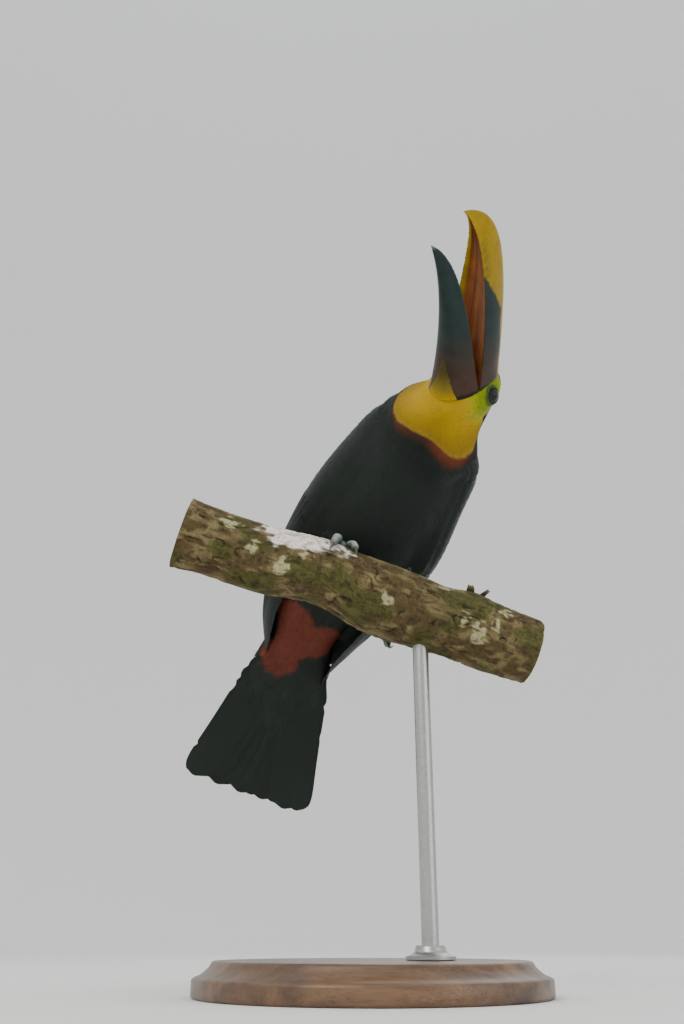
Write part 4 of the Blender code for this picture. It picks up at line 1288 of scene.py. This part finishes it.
def lids(word):
    """A ring from the ball's edge over a rounded rim and down to the face, with fine folds.

    Its height over the face falls as (1 - u)^2 outside the rim, u being the share of the way out.
    """
    centre, look, ahead, up = eye_frame(SIGNS[word])
    u, turn = crossed(np.linspace(0, 1, 40), full_turn(120))
    narrow = 1 - 0.10 * np.abs(np.sin(turn)) ** 1.5
    radius = (LID_OPENING + (LID_REACH - LID_OPENING) * u ** 1.2) * narrow
    flat = centre + round_axis(turn, ahead, up, radius)
    face = face_under(flat, ahead, up, EYE_PLACE + 0 * u, SIGNS[word] * EYE_ANGLE + 0 * u)
    face = (face - centre) @ look
    on_ball = np.sqrt(EYE_RADIUS**2 - LID_OPENING**2)
    rim = on_ball + 0.0011 * np.sin(math.pi * np.clip(u / 0.34, 0, 1)) ** 0.7
    share = ease(0.20, 1.0, u)
    folds = 0.00016 * np.sin(u * 34.0 + 0.5 * np.sin(turn * 3))
    folds = folds * ease(0.2, 0.4, u) * ease(1.0, 0.8, u)
    height = rim * (1 - share) + (face - 0.0003) * share + folds
    points = flat + height[..., None] * look
    inner = (points[:1] - centre) * 0.90 + centre
    ring = loft(f"lids_{word}", [np.concatenate((inner, points))], bare_skin, capped=False)
    colour = mix(LID_GREEN * 0.45, LID_GREEN, ease(0.02, 0.22, u))
    colour = mix(colour, LIME, ease(0.55, 0.98, u))
    paint(ring, "marks", np.concatenate((colour[:1], colour)).reshape(-1, 3))
    settle(ring, "bare_face")


wet = Finish("wet_eye", 0.10, Coat_Weight=0.15, Coat_Roughness=0.03, Specular_IOR_Level=0.22)
wet.link(Base_Color=wet.marks(wet.noise(wet.place(), 700.0), 0.75, 1.2))
for word in SIGNS:
    eyeball(word)
    lids(word)

# ---- Perch ----------------------------------------------------------------------------------
# A short length of a dead branch, sawn off at both ends and still in its bark: wrinkled and
# cracked along its length, grown over with moss and lichen, and painted pale on top where sun falls
# on it.

PERCH_MIDDLE = np.array((-0.0075, -0.0130, 0.2792))
PERCH_SLOPE = math.radians(15.8)
PERCH_HEADING = math.radians(11.2)
PERCH_LENGTH = 0.285
PERCH_RADIUS = 0.0262
PERCH_WAY = np.array((
    math.cos(PERCH_SLOPE) * math.cos(PERCH_HEADING),
    math.cos(PERCH_SLOPE) * math.sin(PERCH_HEADING), -math.sin(PERCH_SLOPE)))
PERCH_UP = unit(UPRIGHT - PERCH_WAY * PERCH_WAY[2])
PERCH_FRONT = np.cross(PERCH_WAY, PERCH_UP)
PERCH_HUMP = (-0.032, 0.032, 0.0060)      # where the branch humps up, how wide and how high
KNOT = (0.088, 0.35, 0.0035)              # place, angle and height of a healed knot
STUBS = (                                 # place, angle, length, radius, lean along the branch
    (0.0830, 20.0, 0.0068, 0.0034, -0.15), (0.0915, 18.0, 0.0092, 0.0019, 0.70),
)
BARK_BROWN = np.array((0.092, 0.064, 0.025))
BARK_GREY = np.array((0.200, 0.155, 0.068))
BARK_DARK = np.array((0.034, 0.024, 0.013))
MOSS_GREEN = np.array((0.070, 0.075, 0.016))
LICHEN_PALE = np.array((0.400, 0.370, 0.200))
# Painted sunlight: the pale patch where the sun falls on the top of the branch.
PAINTED_SUNLIGHT = np.array((0.900, 0.810, 0.740))
RING_DARK = (0.30, 0.19, 0.09)
RING_PALE = (0.52, 0.39, 0.23)
SUNNY_PATCH = (-0.054, 46.0, 0.038, 36.0)  # place, angle, and how far it goes along and round
LATTICE = 32
LICHENS = (                               # place along the branch, angle in degrees, size
    (0.094, 112.0, 0.0080), (0.104, 92.0, 0.0060), (0.080, 98.0, 0.0055), (0.111, 60.0, 0.0050),
    (-0.064, 118.0, 0.0065), (-0.088, 96.0, 0.0050), (-0.050, 88.0, 0.0040), (0.020, 108.0, 0.0045),
    (0.062, 40.0, 0.0060), (-0.110, 60.0, 0.0075), (-0.030, 240.0, 0.0090), (0.060, 215.0, 0.0070),
)


def centred(angle):
    """An angle brought to between half a turn back and half a turn on."""
    return np.mod(angle + math.pi, FULL_TURN) - math.pi


def bark_radius(along, angle):
    """The branch's own radius: slow waves along and round it, and a bump at the knot."""
    place, middle, height = KNOT
    off_knot = np.hypot((along - place) / 0.016, centred(angle - middle) / 0.55)
    return (
        PERCH_RADIUS + 0.0012 * np.sin(31 * along + 0.6) + 0.0008 * np.sin(67 * along)
        + 0.0005 * np.cos(3 * angle + 20 * along) + 0.0003 * np.cos(5 * angle - 35 * along)
        + height * np.exp(-off_knot**2))


def on_bark(along, angle, lift):
    """A point over the bark; the angle runs from the top of the branch towards the viewer."""
    place, width, height = PERCH_HUMP
    middle = along[..., None] * PERCH_WAY + PERCH_MIDDLE
    middle = middle + (height * np.exp(-((along - place) / width) ** 2))[..., None] * PERCH_UP
    return middle + round_axis(angle, PERCH_UP, PERCH_FRONT, bark_radius(along, angle) + lift)


def noise(points, pitch, seed):
    """Random values from -1 to 1 on a lattice of the given pitches, joined by smooth cubics."""
    lattice = np.random.default_rng(seed).uniform(-1, 1, (LATTICE, LATTICE, LATTICE))
    spots = points / np.array(pitch)
    cell = np.floor(spots).astype(int)
    part = ease(0.0, 1.0, spots - cell)
    total = np.zeros(points.shape[:-1])
    for corner in range(8):
        step = np.array((corner & 1, corner >> 1 & 1, corner >> 2))
        weight = np.prod(np.where(step == 1, part, 1 - part), axis=-1)
        x, y, z = np.moveaxis(np.mod(cell + step, LATTICE), -1, 0)
        total += weight * lattice[x, y, z]
    return total


def bark_grain(along, angle):
    """Folds, wrinkles, cracks and plates of the bark at each spot, and the spot laid out straight.

    A fold is 1 - |n| of a noise drawn out along the branch, at two sizes, and a crack opens where a
    third noise passes through nought.
    """
    spot = np.stack((along, PERCH_RADIUS * np.cos(angle), PERCH_RADIUS * np.sin(angle)), axis=-1)
    bent = spot + 0.0030 * noise(spot, (0.011, 0.008, 0.008), 3)[..., None]
    folds = 1 - np.abs(noise(bent, (0.0150, 0.0050, 0.0050), 11))
    wrinkles = 1 - np.abs(noise(bent, (0.0052, 0.0021, 0.0021), 12))
    cracks = ease(0.12, 0.02, np.abs(noise(bent, (0.0130, 0.0046, 0.0046), 13)))
    cracks = cracks * ease(-0.1, 0.4, noise(spot, (0.0100, 0.0060, 0.0060), 18))
    plates = noise(bent, (0.0075, 0.0045, 0.0045), 14)
    return folds, wrinkles, cracks, plates, spot


def bark_colour(along, angle, grain):
    """Brown and grey plates, dark in the cracks, with moss, round lichens and painted sunlight on
    the top.
    """
    _, wrinkles, cracks, plates, spot = grain
    colour = mix(BARK_BROWN, BARK_GREY, ease(-0.3, 0.7, plates))
    moss = ease(0.05, 0.45, noise(spot, (0.018, 0.012, 0.012), 15) + 0.25 * wrinkles - 0.1)
    colour = mix(colour, MOSS_GREEN, moss * 0.75)
    ragged = 0.75 * noise(spot, (0.0032, 0.0026, 0.0026), 16)
    for place, degrees, size in LICHENS:
        apart = centred(angle - math.radians(degrees))
        away = np.hypot(along - place, apart * PERCH_RADIUS) / size + ragged
        colour = mix(colour, LICHEN_PALE, ease(1.0, 0.70, away) * ease(0.2, 0.9, wrinkles))
    colour = mix(colour, BARK_DARK, np.clip(cracks * 0.8 + ease(0.75, 0.35, wrinkles) * 0.6, 0, 1))
    place, degrees, length, girth = SUNNY_PATCH
    across = (angle - math.radians(degrees)) / math.radians(girth)
    sunny = np.hypot((along - place) / length, across)
    sunny = sunny + 0.30 * noise(spot, (0.0060, 0.0040, 0.0040), 17) + 0.25 * (1 - wrinkles)
    # Painted sunlight, paler on the ridges of the wrinkles and kept out of the cracks.
    sunlit = PAINTED_SUNLIGHT * (0.62 + 0.38 * ease(0.35, 0.85, wrinkles))[..., None]
    return mix(colour, sunlit, ease(1.10, 0.85, sunny) * (1 - 0.8 * cracks))


def bark_finish():
    """Bark by its own painted colour with gritty grain, and pale end wood with growth rings."""
    finish = Finish("branch_bark", 0.86, Specular_IOR_Level=0.25)
    place = finish.place()
    grit = finish.noise(place, 520.0, 6.0, Roughness=0.65)
    wobble = finish.reckon("MULTIPLY", finish.noise(place, 60.0, 3.0), 9.0)
    heart = finish.layer("heart_distance").outputs["Fac"]
    ring = finish.reckon("MULTIPLY_ADD", heart, 3600.0, wobble)
    waves = finish.levels(finish.reckon("SINE", ring), 0.0, 1.0, -1.0, 1.0)
    colour = finish.node("Mix", {"data_type": "RGBA"}, in0=finish.layer("sawn").outputs["Fac"],
                         in6=finish.marks(grit, 0.62, 1.35),
                         in7=finish.ramp(waves, RING_DARK, RING_PALE))
    finish.link(Base_Color=colour.outputs[2])
    finish.bump(grit, 0.6, 0.0006)
    return finish


def make_perch():
    """Rows along the bark between two sawn faces, whose rows shrink towards the heart."""
    shrunk = np.linspace(0.02, 0.985, 13)
    half = np.full(len(shrunk), PERCH_LENGTH / 2)
    share = np.concatenate((shrunk, np.ones(370), shrunk[::-1]))
    along = np.concatenate((-half, np.linspace(-PERCH_LENGTH / 2, PERCH_LENGTH / 2, 370), half))
    places, angles = crossed(along, full_turn(240))
    share, _ = crossed(share, full_turn(240))
    grain = bark_grain(places, angles)
    folds, wrinkles, cracks, plates, _ = grain
    lift = 0.0009 * folds + 0.0007 * wrinkles - 0.0014 * cracks + 0.0003 * plates - 0.0010
    heart = on_bark(places, angles, -bark_radius(places, angles))
    points = heart + (on_bark(places, angles, lift) - heart) * share[..., None]
    perch = loft("perch_branch", [points], bark)
    perch.data.set_sharp_from_angle(angle=math.radians(60.0))
    paint(perch, "marks", with_ends(bark_colour(places, angles, grain)))
    paint(perch, "heart_distance", with_ends(share * PERCH_RADIUS))
    paint(perch, "sawn", with_ends(ease(0.99, 0.965, share)))
    settle(perch, "bark", "perch")


def make_stubs():
    """Two broken twigs: radius * (1 - 0.45 t^2) round a short line that leans along the branch."""
    t, turn = crossed(np.linspace(0, 1, 24), full_turn(28))
    splinters = 1 + 0.16 * np.cos(3 * turn + 2 * t) + 0.07 * np.cos(7 * turn - 3 * t)
    twigs = []
    for along, degrees, length, radius, lean in STUBS:
        angle = np.array(math.radians(degrees))
        way = unit(np.cos(angle) * PERCH_UP + np.sin(angle) * PERCH_FRONT + lean * PERCH_WAY)
        side = unit(np.cross(way, PERCH_FRONT))
        foot = on_bark(np.array(along), angle, -0.0020)
        ragged = length * t * (1 + 0.10 * t * np.cos(2 * turn + along * 900.0))
        twigs.append(foot + ragged[..., None] * way + round_axis(
            turn, side, np.cross(way, side), radius * (1 - 0.45 * t**2) * splinters))
    stubs = loft("bark_stubs", twigs, bark)
    colour = with_ends(mix(BARK_DARK, BARK_GREY * 0.7, ease(0.55, 1.0, t)))
    paint(stubs, "marks", np.tile(colour, (len(STUBS), 1)))
    paint(stubs, "heart_distance", 0.0)
    paint(stubs, "sawn", 0.0)
    settle(stubs, "bark")


bark = bark_finish()
make_perch()
make_stubs()

# ---- Legs and feet --------------------------------------------------------------------------
# Feathered thighs run into short bare shanks with a row of plates down the front. Each foot has
# two toes forward and two back, scaled above, padded below, that grip the branch and end in claws.

FEET = {                                  # place on the branch, angle, place on the trunk, offset
    "right": (-0.0215, -14.0, 0.098, -0.0220),
    "left": (0.0230, -79.0, 0.086, 0.0210),
}
TOES = (                                  # offset, length, thickness, forward or back, spread
    (0.0035, 0.0270, 0.0033, 1, 0.0030),
    (-0.0045, 0.0360, 0.0036, 1, -0.0035),
    (0.0040, 0.0190, 0.0031, -1, 0.0050),
    (-0.0040, 0.0320, 0.0034, -1, -0.0060),
)
CLAW_LENGTH = 0.0110
SHANK_RADIUS = 0.0036
THIGH_LENGTH = 0.0180
JOINT_GAP = 0.0003
LEG_TEAL = np.array((0.120, 0.165, 0.145))
# Painted sunlight for the toes' upper sides.
LEG_SUNLIT = np.array((0.640, 0.620, 0.540))
LEG_SEAM = np.array((0.040, 0.050, 0.045))


def tube(path, radius, over):
    """Rings round the points of a path, from the side over the top, with a radius for each spot."""
    way = unit(np.gradient(path, axis=0))
    side = unit(np.cross(way, over))
    _, turn = crossed(path[:, 0], full_turn(radius.shape[1]))
    return path[:, None] + round_axis(turn, side[:, None], np.cross(side, way)[:, None], radius)


def scute(along, pitch):
    """Height of overlapping plates along a toe or shank: each rises, then drops at its edge."""
    step = np.mod(along / pitch, 1.0)
    return step**0.6 * ease(1.0, 0.86, step)


def toe_path(word, toe, reach):
    """Middle line of a toe and its claw over the bark, its radius and the bark's outward way."""
    along, palm, _, _ = FEET[word]
    offset, length, thickness, direction, spread = toe
    share = np.clip(reach / length, 0, 1)
    claw = np.clip((reach - length) / CLAW_LENGTH, 0, 1)
    radius = thickness * (1 - 0.25 * share) * (1 + 0.07 * np.cos(share * 6 * math.pi))
    radius = np.where(claw > 0, radius * 0.72 * (1 - 0.85 * claw**1.2), radius)
    lift = radius + 3 * JOINT_GAP + 0.0022 * np.sin(math.pi * claw)
    angle = math.radians(palm) + direction * reach / (PERCH_RADIUS + thickness)
    line = along - SIGNS[word] * (offset + spread * 2 * reach / (length + CLAW_LENGTH))
    path = on_bark(line, angle, lift)
    return path, radius, unit(path - on_bark(line, angle, -0.01))


def leg_line(word):
    """Point of the palm, way up the leg and point of the hip."""
    along, palm, station, offset = FEET[word]
    palm_point = on_bark(np.array(along), np.array(math.radians(palm)), 0.0050)
    middle, _, left, back = along_spine(np.array(station))
    belly = stations_at(BODY_STATIONS, np.array(station))[2]
    hip = middle + left * offset - back * belly * 0.93
    return palm_point, unit(hip - palm_point), hip


def foot(word):
    """Four toes with joint pads and plates, the pad of the palm between them, and four claws."""
    toes, colours, claws = [], [], []
    turn = full_turn(24)
    above = np.maximum(np.sin(turn), 0.0)
    for toe in TOES:
        length = toe[1]
        reach = np.linspace(0.0, length + 0.0008, 110)
        path, radius, over = toe_path(word, toe, np.minimum(reach, length - 1e-5))
        path = path + (reach - np.minimum(reach, length))[:, None] * unit(path[-20] - path[-40])
        plates = scute(reach, 0.0021)[:, None]
        pads = (0.5 + 0.5 * np.cos(reach / length * 6 * math.pi))[:, None]
        end = np.sqrt(np.clip((length + 0.0009 - reach) / 0.0016, 0.0, 1.0))[:, None]
        girth = radius[:, None] * (1 + 0.075 * plates * above + 0.05 * pads * (1 - above)) * end
        toes.append(tube(path, girth, over))
        # The toes are painted pale on their upper sides, where sunlight falls on them.
        colour = mix(LEG_TEAL, LEG_SUNLIT, ease(0.2, 1.0, over[:, 2:] * above) * 0.85)
        colours.append(with_ends(mix(colour, LEG_SEAM, ease(0.30, 0.05, plates) * above * 0.7)))
        reach = np.linspace(length - 0.0010, length + CLAW_LENGTH, 40)
        path, _, over = toe_path(word, toe, reach)
        past = np.clip((reach - length + 0.001) / CLAW_LENGTH, 0, 1)
        radius = toe[2] * 0.50 * (1 - 0.92 * past**1.3)
        claws.append(tube(path, radius[:, None] * (1 + 0 * turn), over))
    palm, leg, _ = leg_line(word)
    share = np.linspace(0.0, 1.0, 36)
    palm_radius = np.sqrt(np.maximum(np.sin(math.pi * np.clip(share, 0.02, 0.98)), 0)) * 0.0046
    path = palm + leg * (-0.0036 + 0.0125 * share)[:, None]
    knobs = 1 + 0.05 * np.sin(share * 31.0)[:, None] * np.cos(3 * turn)
    toes.append(tube(path, palm_radius[:, None] * knobs, PERCH_WAY))
    colours.append(with_ends(LEG_TEAL * knobs[..., None]))
    scaled = loft(f"toes_{word}", toes, scales)
    paint(scaled, "marks", np.concatenate(colours))
    settle(scaled, "leg_scale", f"foot_{word}")
    settle(loft(f"claws_{word}", claws, claw_horn), "leg_scale")


def shank(word):
    """The bare leg: SHANK_RADIUS * (1 + 0.12 (2t - 1)^2), flatter at the sides, plated in front."""
    palm, leg, hip = leg_line(word)
    start, end = palm + leg * 0.0080, hip - leg * 0.0050
    length = np.linalg.norm(end - start)
    t = np.linspace(0, 1, 120)[:, None]
    turn = full_turn(32)
    front = np.maximum(np.cos(turn), 0.0)
    plates = scute(t * length, 0.0030)
    small = 0.5 + 0.5 * np.sin(t * length * 3200.0) * np.cos(turn * 9.0)
    radius = SHANK_RADIUS * (1 + 0.12 * (2 * t - 1) ** 2)
    radius = radius * (1 + 0.06 * plates * front + 0.025 * small * (1 - front))
    radius = radius * (1 - 0.15 * np.abs(np.sin(turn)))
    over = np.cross(leg, (0.0, 1.0, 0.0))
    piece = loft(f"shank_{word}", [tube(start + (end - start) * t, radius, over)], scales)
    colour = mix(LEG_TEAL, LEG_SEAM, ease(0.30, 0.05, plates) * front * 0.8)
    paint(piece, "marks", with_ends(colour))
    settle(piece, "leg_scale", f"tarsus_{word}")


def thigh(word):
    """A cone from the shank into the belly, radius 0.005 to 0.015 as sin(pi t / 2), feathered."""
    _, leg, hip = leg_line(word)
    sideways = unit(np.cross(leg, PERCH_FRONT))
    forward = np.cross(sideways, leg)
    foot_end = hip - leg * 0.0060

    def thigh_at(place, angle, lift):
        t = np.clip(place / THIGH_LENGTH, -0.6, 1.0)
        radius = 0.0050 + 0.0100 * np.sin(0.5 * math.pi * np.clip(t, 0.0, 1.0)) + lift
        radius = np.maximum(radius - 0.0018 * np.clip(-t, 0.0, 1.0) / 0.6, 0.0038)
        return foot_end + place[..., None] * leg + round_axis(angle, forward, sideways, radius)

    place, turn = crossed(np.linspace(0, 1, 30) * THIGH_LENGTH, full_turn(40))
    core = loft(f"thigh_skin_{word}", [thigh_at(place, turn, -0.0012)], bare_skin)
    paint(core, "marks", BLACK)
    settle(core, "black_plumage", f"thigh_{word}")
    rows = np.arange(0.0005, THIGH_LENGTH, 0.0015)
    place, angle = crossed(rows, np.arange(26) / 26 * FULL_TURN)
    angle = (angle + np.arange(len(rows))[:, None] % 2 * math.pi / 26).ravel()
    count = angle.size
    place = place.ravel() + chance.normal(0, 0.0003, count)
    tint = BLACK * chance.normal(1.0, 0.06, count)[:, None]
    length = chance.uniform(0.0060, 0.0085, count)
    turn = chance.normal(0, 0.08, count)
    high = chance.uniform(0.0, 0.0004, count)
    lay_vanes(f"thigh_feathers_{word}", "black_plumage", silky, thigh_at, place, angle, length,
              0.0012, turn, -0.0012, high, tint, (0.3 + angle / FULL_TURN * 0.05, 0.5 + place))


def scale_finish():
    """Painted horny scales with small cracks between their grains."""
    finish = Finish("leg_scales", 0.55, Specular_IOR_Level=0.4)
    place = finish.place()
    finish.link(Base_Color=finish.marks(finish.noise(place, 260.0, 4.0), 0.75, 1.20))
    cells = finish.node("TexVoronoi", Vector=place, Scale=1500.0)
    finish.bump(cells.outputs["Distance"], 0.4, 0.0003)
    return finish


scales = scale_finish()
claw_horn = Finish("claw_horn", 0.34, Coat_Weight=0.2)
claw_horn.link(Base_Color=claw_horn.ramp(
    claw_horn.noise(claw_horn.place(), 700.0, 3.0), (0.020, 0.018, 0.015), (0.120, 0.105, 0.085)))
for word in SIGNS:
    foot(word)
    shank(word)
    thigh(word)

# ---- Stand ----------------------------------------------------------------------------------
# A turned walnut base with a moulded edge, waxed, and one brushed steel rod that stands in it
# through a turned collar and ends in a hole in the underside of the branch.

ROD_RADIUS = 0.006
ROD_PLACE = 0.050                         # where along the branch the rod holds it
ROD_DEPTH = 0.0140                        # how far it goes up into the branch
BASE_HEIGHT = 0.022
BASE_PROFILE = np.array((                 # radius and height, from the underside round to the top
    (0.1165, 0.0000), (0.1180, 0.0000), (0.1193, 0.0006), (0.1200, 0.0020), (0.1200, 0.0060),
    (0.1200, 0.0100), (0.1197, 0.0112), (0.1186, 0.0121), (0.1170, 0.0128), (0.1154, 0.0134),
    (0.1135, 0.0144), (0.1118, 0.0158), (0.1100, 0.0172), (0.1087, 0.0186), (0.1078, 0.0203),
    (0.1070, 0.0214), (0.1058, 0.0220), (0.1040, 0.0220),
))
COLLAR_PROFILE = np.array((
    (0.0150, 0.0000), (0.0166, 0.0000), (0.0170, 0.0004), (0.0170, 0.0022), (0.0166, 0.0026),
    (0.0150, 0.0028), (0.0133, 0.0035), (0.0120, 0.0042), (0.0110, 0.0052), (0.0106, 0.0064),
    (0.0103, 0.0074), (0.0099, 0.0085), (0.0094, 0.0090), (0.0080, 0.0090),
))


def turned(name, slot, profile, middle, finish, columns):
    """A lathe's profile closed over its ends, standing on a middle point, for its own node."""
    ends = [np.stack((np.linspace(0.002, radius, 12)[:-1], np.full(11, height)), axis=-1)
            for radius, height in (profile[0], profile[-1])]
    profile = np.vstack((ends[0], profile, ends[1][::-1]))
    piece = loft(f"{name}_turned", [lathe(profile, columns) + middle], finish)
    piece.data.set_sharp_from_angle(angle=math.radians(40.0))
    settle(piece, slot, name)


def walnut():
    """Plain sawn walnut: rings stretched along the grain, fine pores and a thin coat of wax."""
    finish = Finish("stand_walnut", 0.42, Coat_Weight=0.3, Coat_Roughness=0.25)
    drawn = finish.place(Scale=(5.0, 60.0, 60.0), Rotation=(0.3, 0.05, 0.12))
    grain = finish.noise(drawn, 1.0, 6.0, Roughness=0.6, Distortion=0.6)
    wood = finish.ramp(grain, (0.050, 0.022, 0.010), (0.205, 0.105, 0.048), 0.34, 0.66)
    pores = finish.noise(finish.place(Scale=(60.0, 1400.0, 1400.0)), 1.0)
    finish.link(Base_Color=finish.toned(wood, pores, 0.60, 1.0, 0.30, 0.50))
    finish.bump(pores, 0.15, 0.0002)
    return finish


def brushed_steel():
    """Steel with fine turning marks round its axis."""
    finish = Finish("stand_brushed_steel", 0.30, Metallic=1.0, Base_Color=(0.46, 0.46, 0.45, 1.0))
    lines = finish.noise(finish.place(Scale=(40.0, 40.0, 5200.0)), 1.0, 3.0)
    finish.link(Roughness=finish.levels(lines, 0.24, 0.42))
    finish.bump(lines, 0.12, 0.0001)
    return finish


held = PERCH_MIDDLE + PERCH_WAY * ROD_PLACE
rod_top = held[2] - PERCH_RADIUS + ROD_DEPTH
rod_axis = np.array((held[0], held[1], 0.0))
ROD_PROFILE = np.array((
    (ROD_RADIUS - 0.0004, BASE_HEIGHT - 0.0100), (ROD_RADIUS, BASE_HEIGHT - 0.0096),
    (ROD_RADIUS, BASE_HEIGHT + 0.0400), (ROD_RADIUS, rod_top - 0.0400),
    (ROD_RADIUS, rod_top - 0.0004), (ROD_RADIUS - 0.0004, rod_top)))
steel = brushed_steel()
turned("stand_base", "stand_wood", BASE_PROFILE, np.zeros(3), walnut(), 240)
turned("stand_rod", "stand_steel", ROD_PROFILE, rod_axis, steel, 64)
turned("stand_collar", "stand_steel", COLLAR_PROFILE, rod_axis + (0.0, 0.0, BASE_HEIGHT + 0.0003),
       steel, 96)
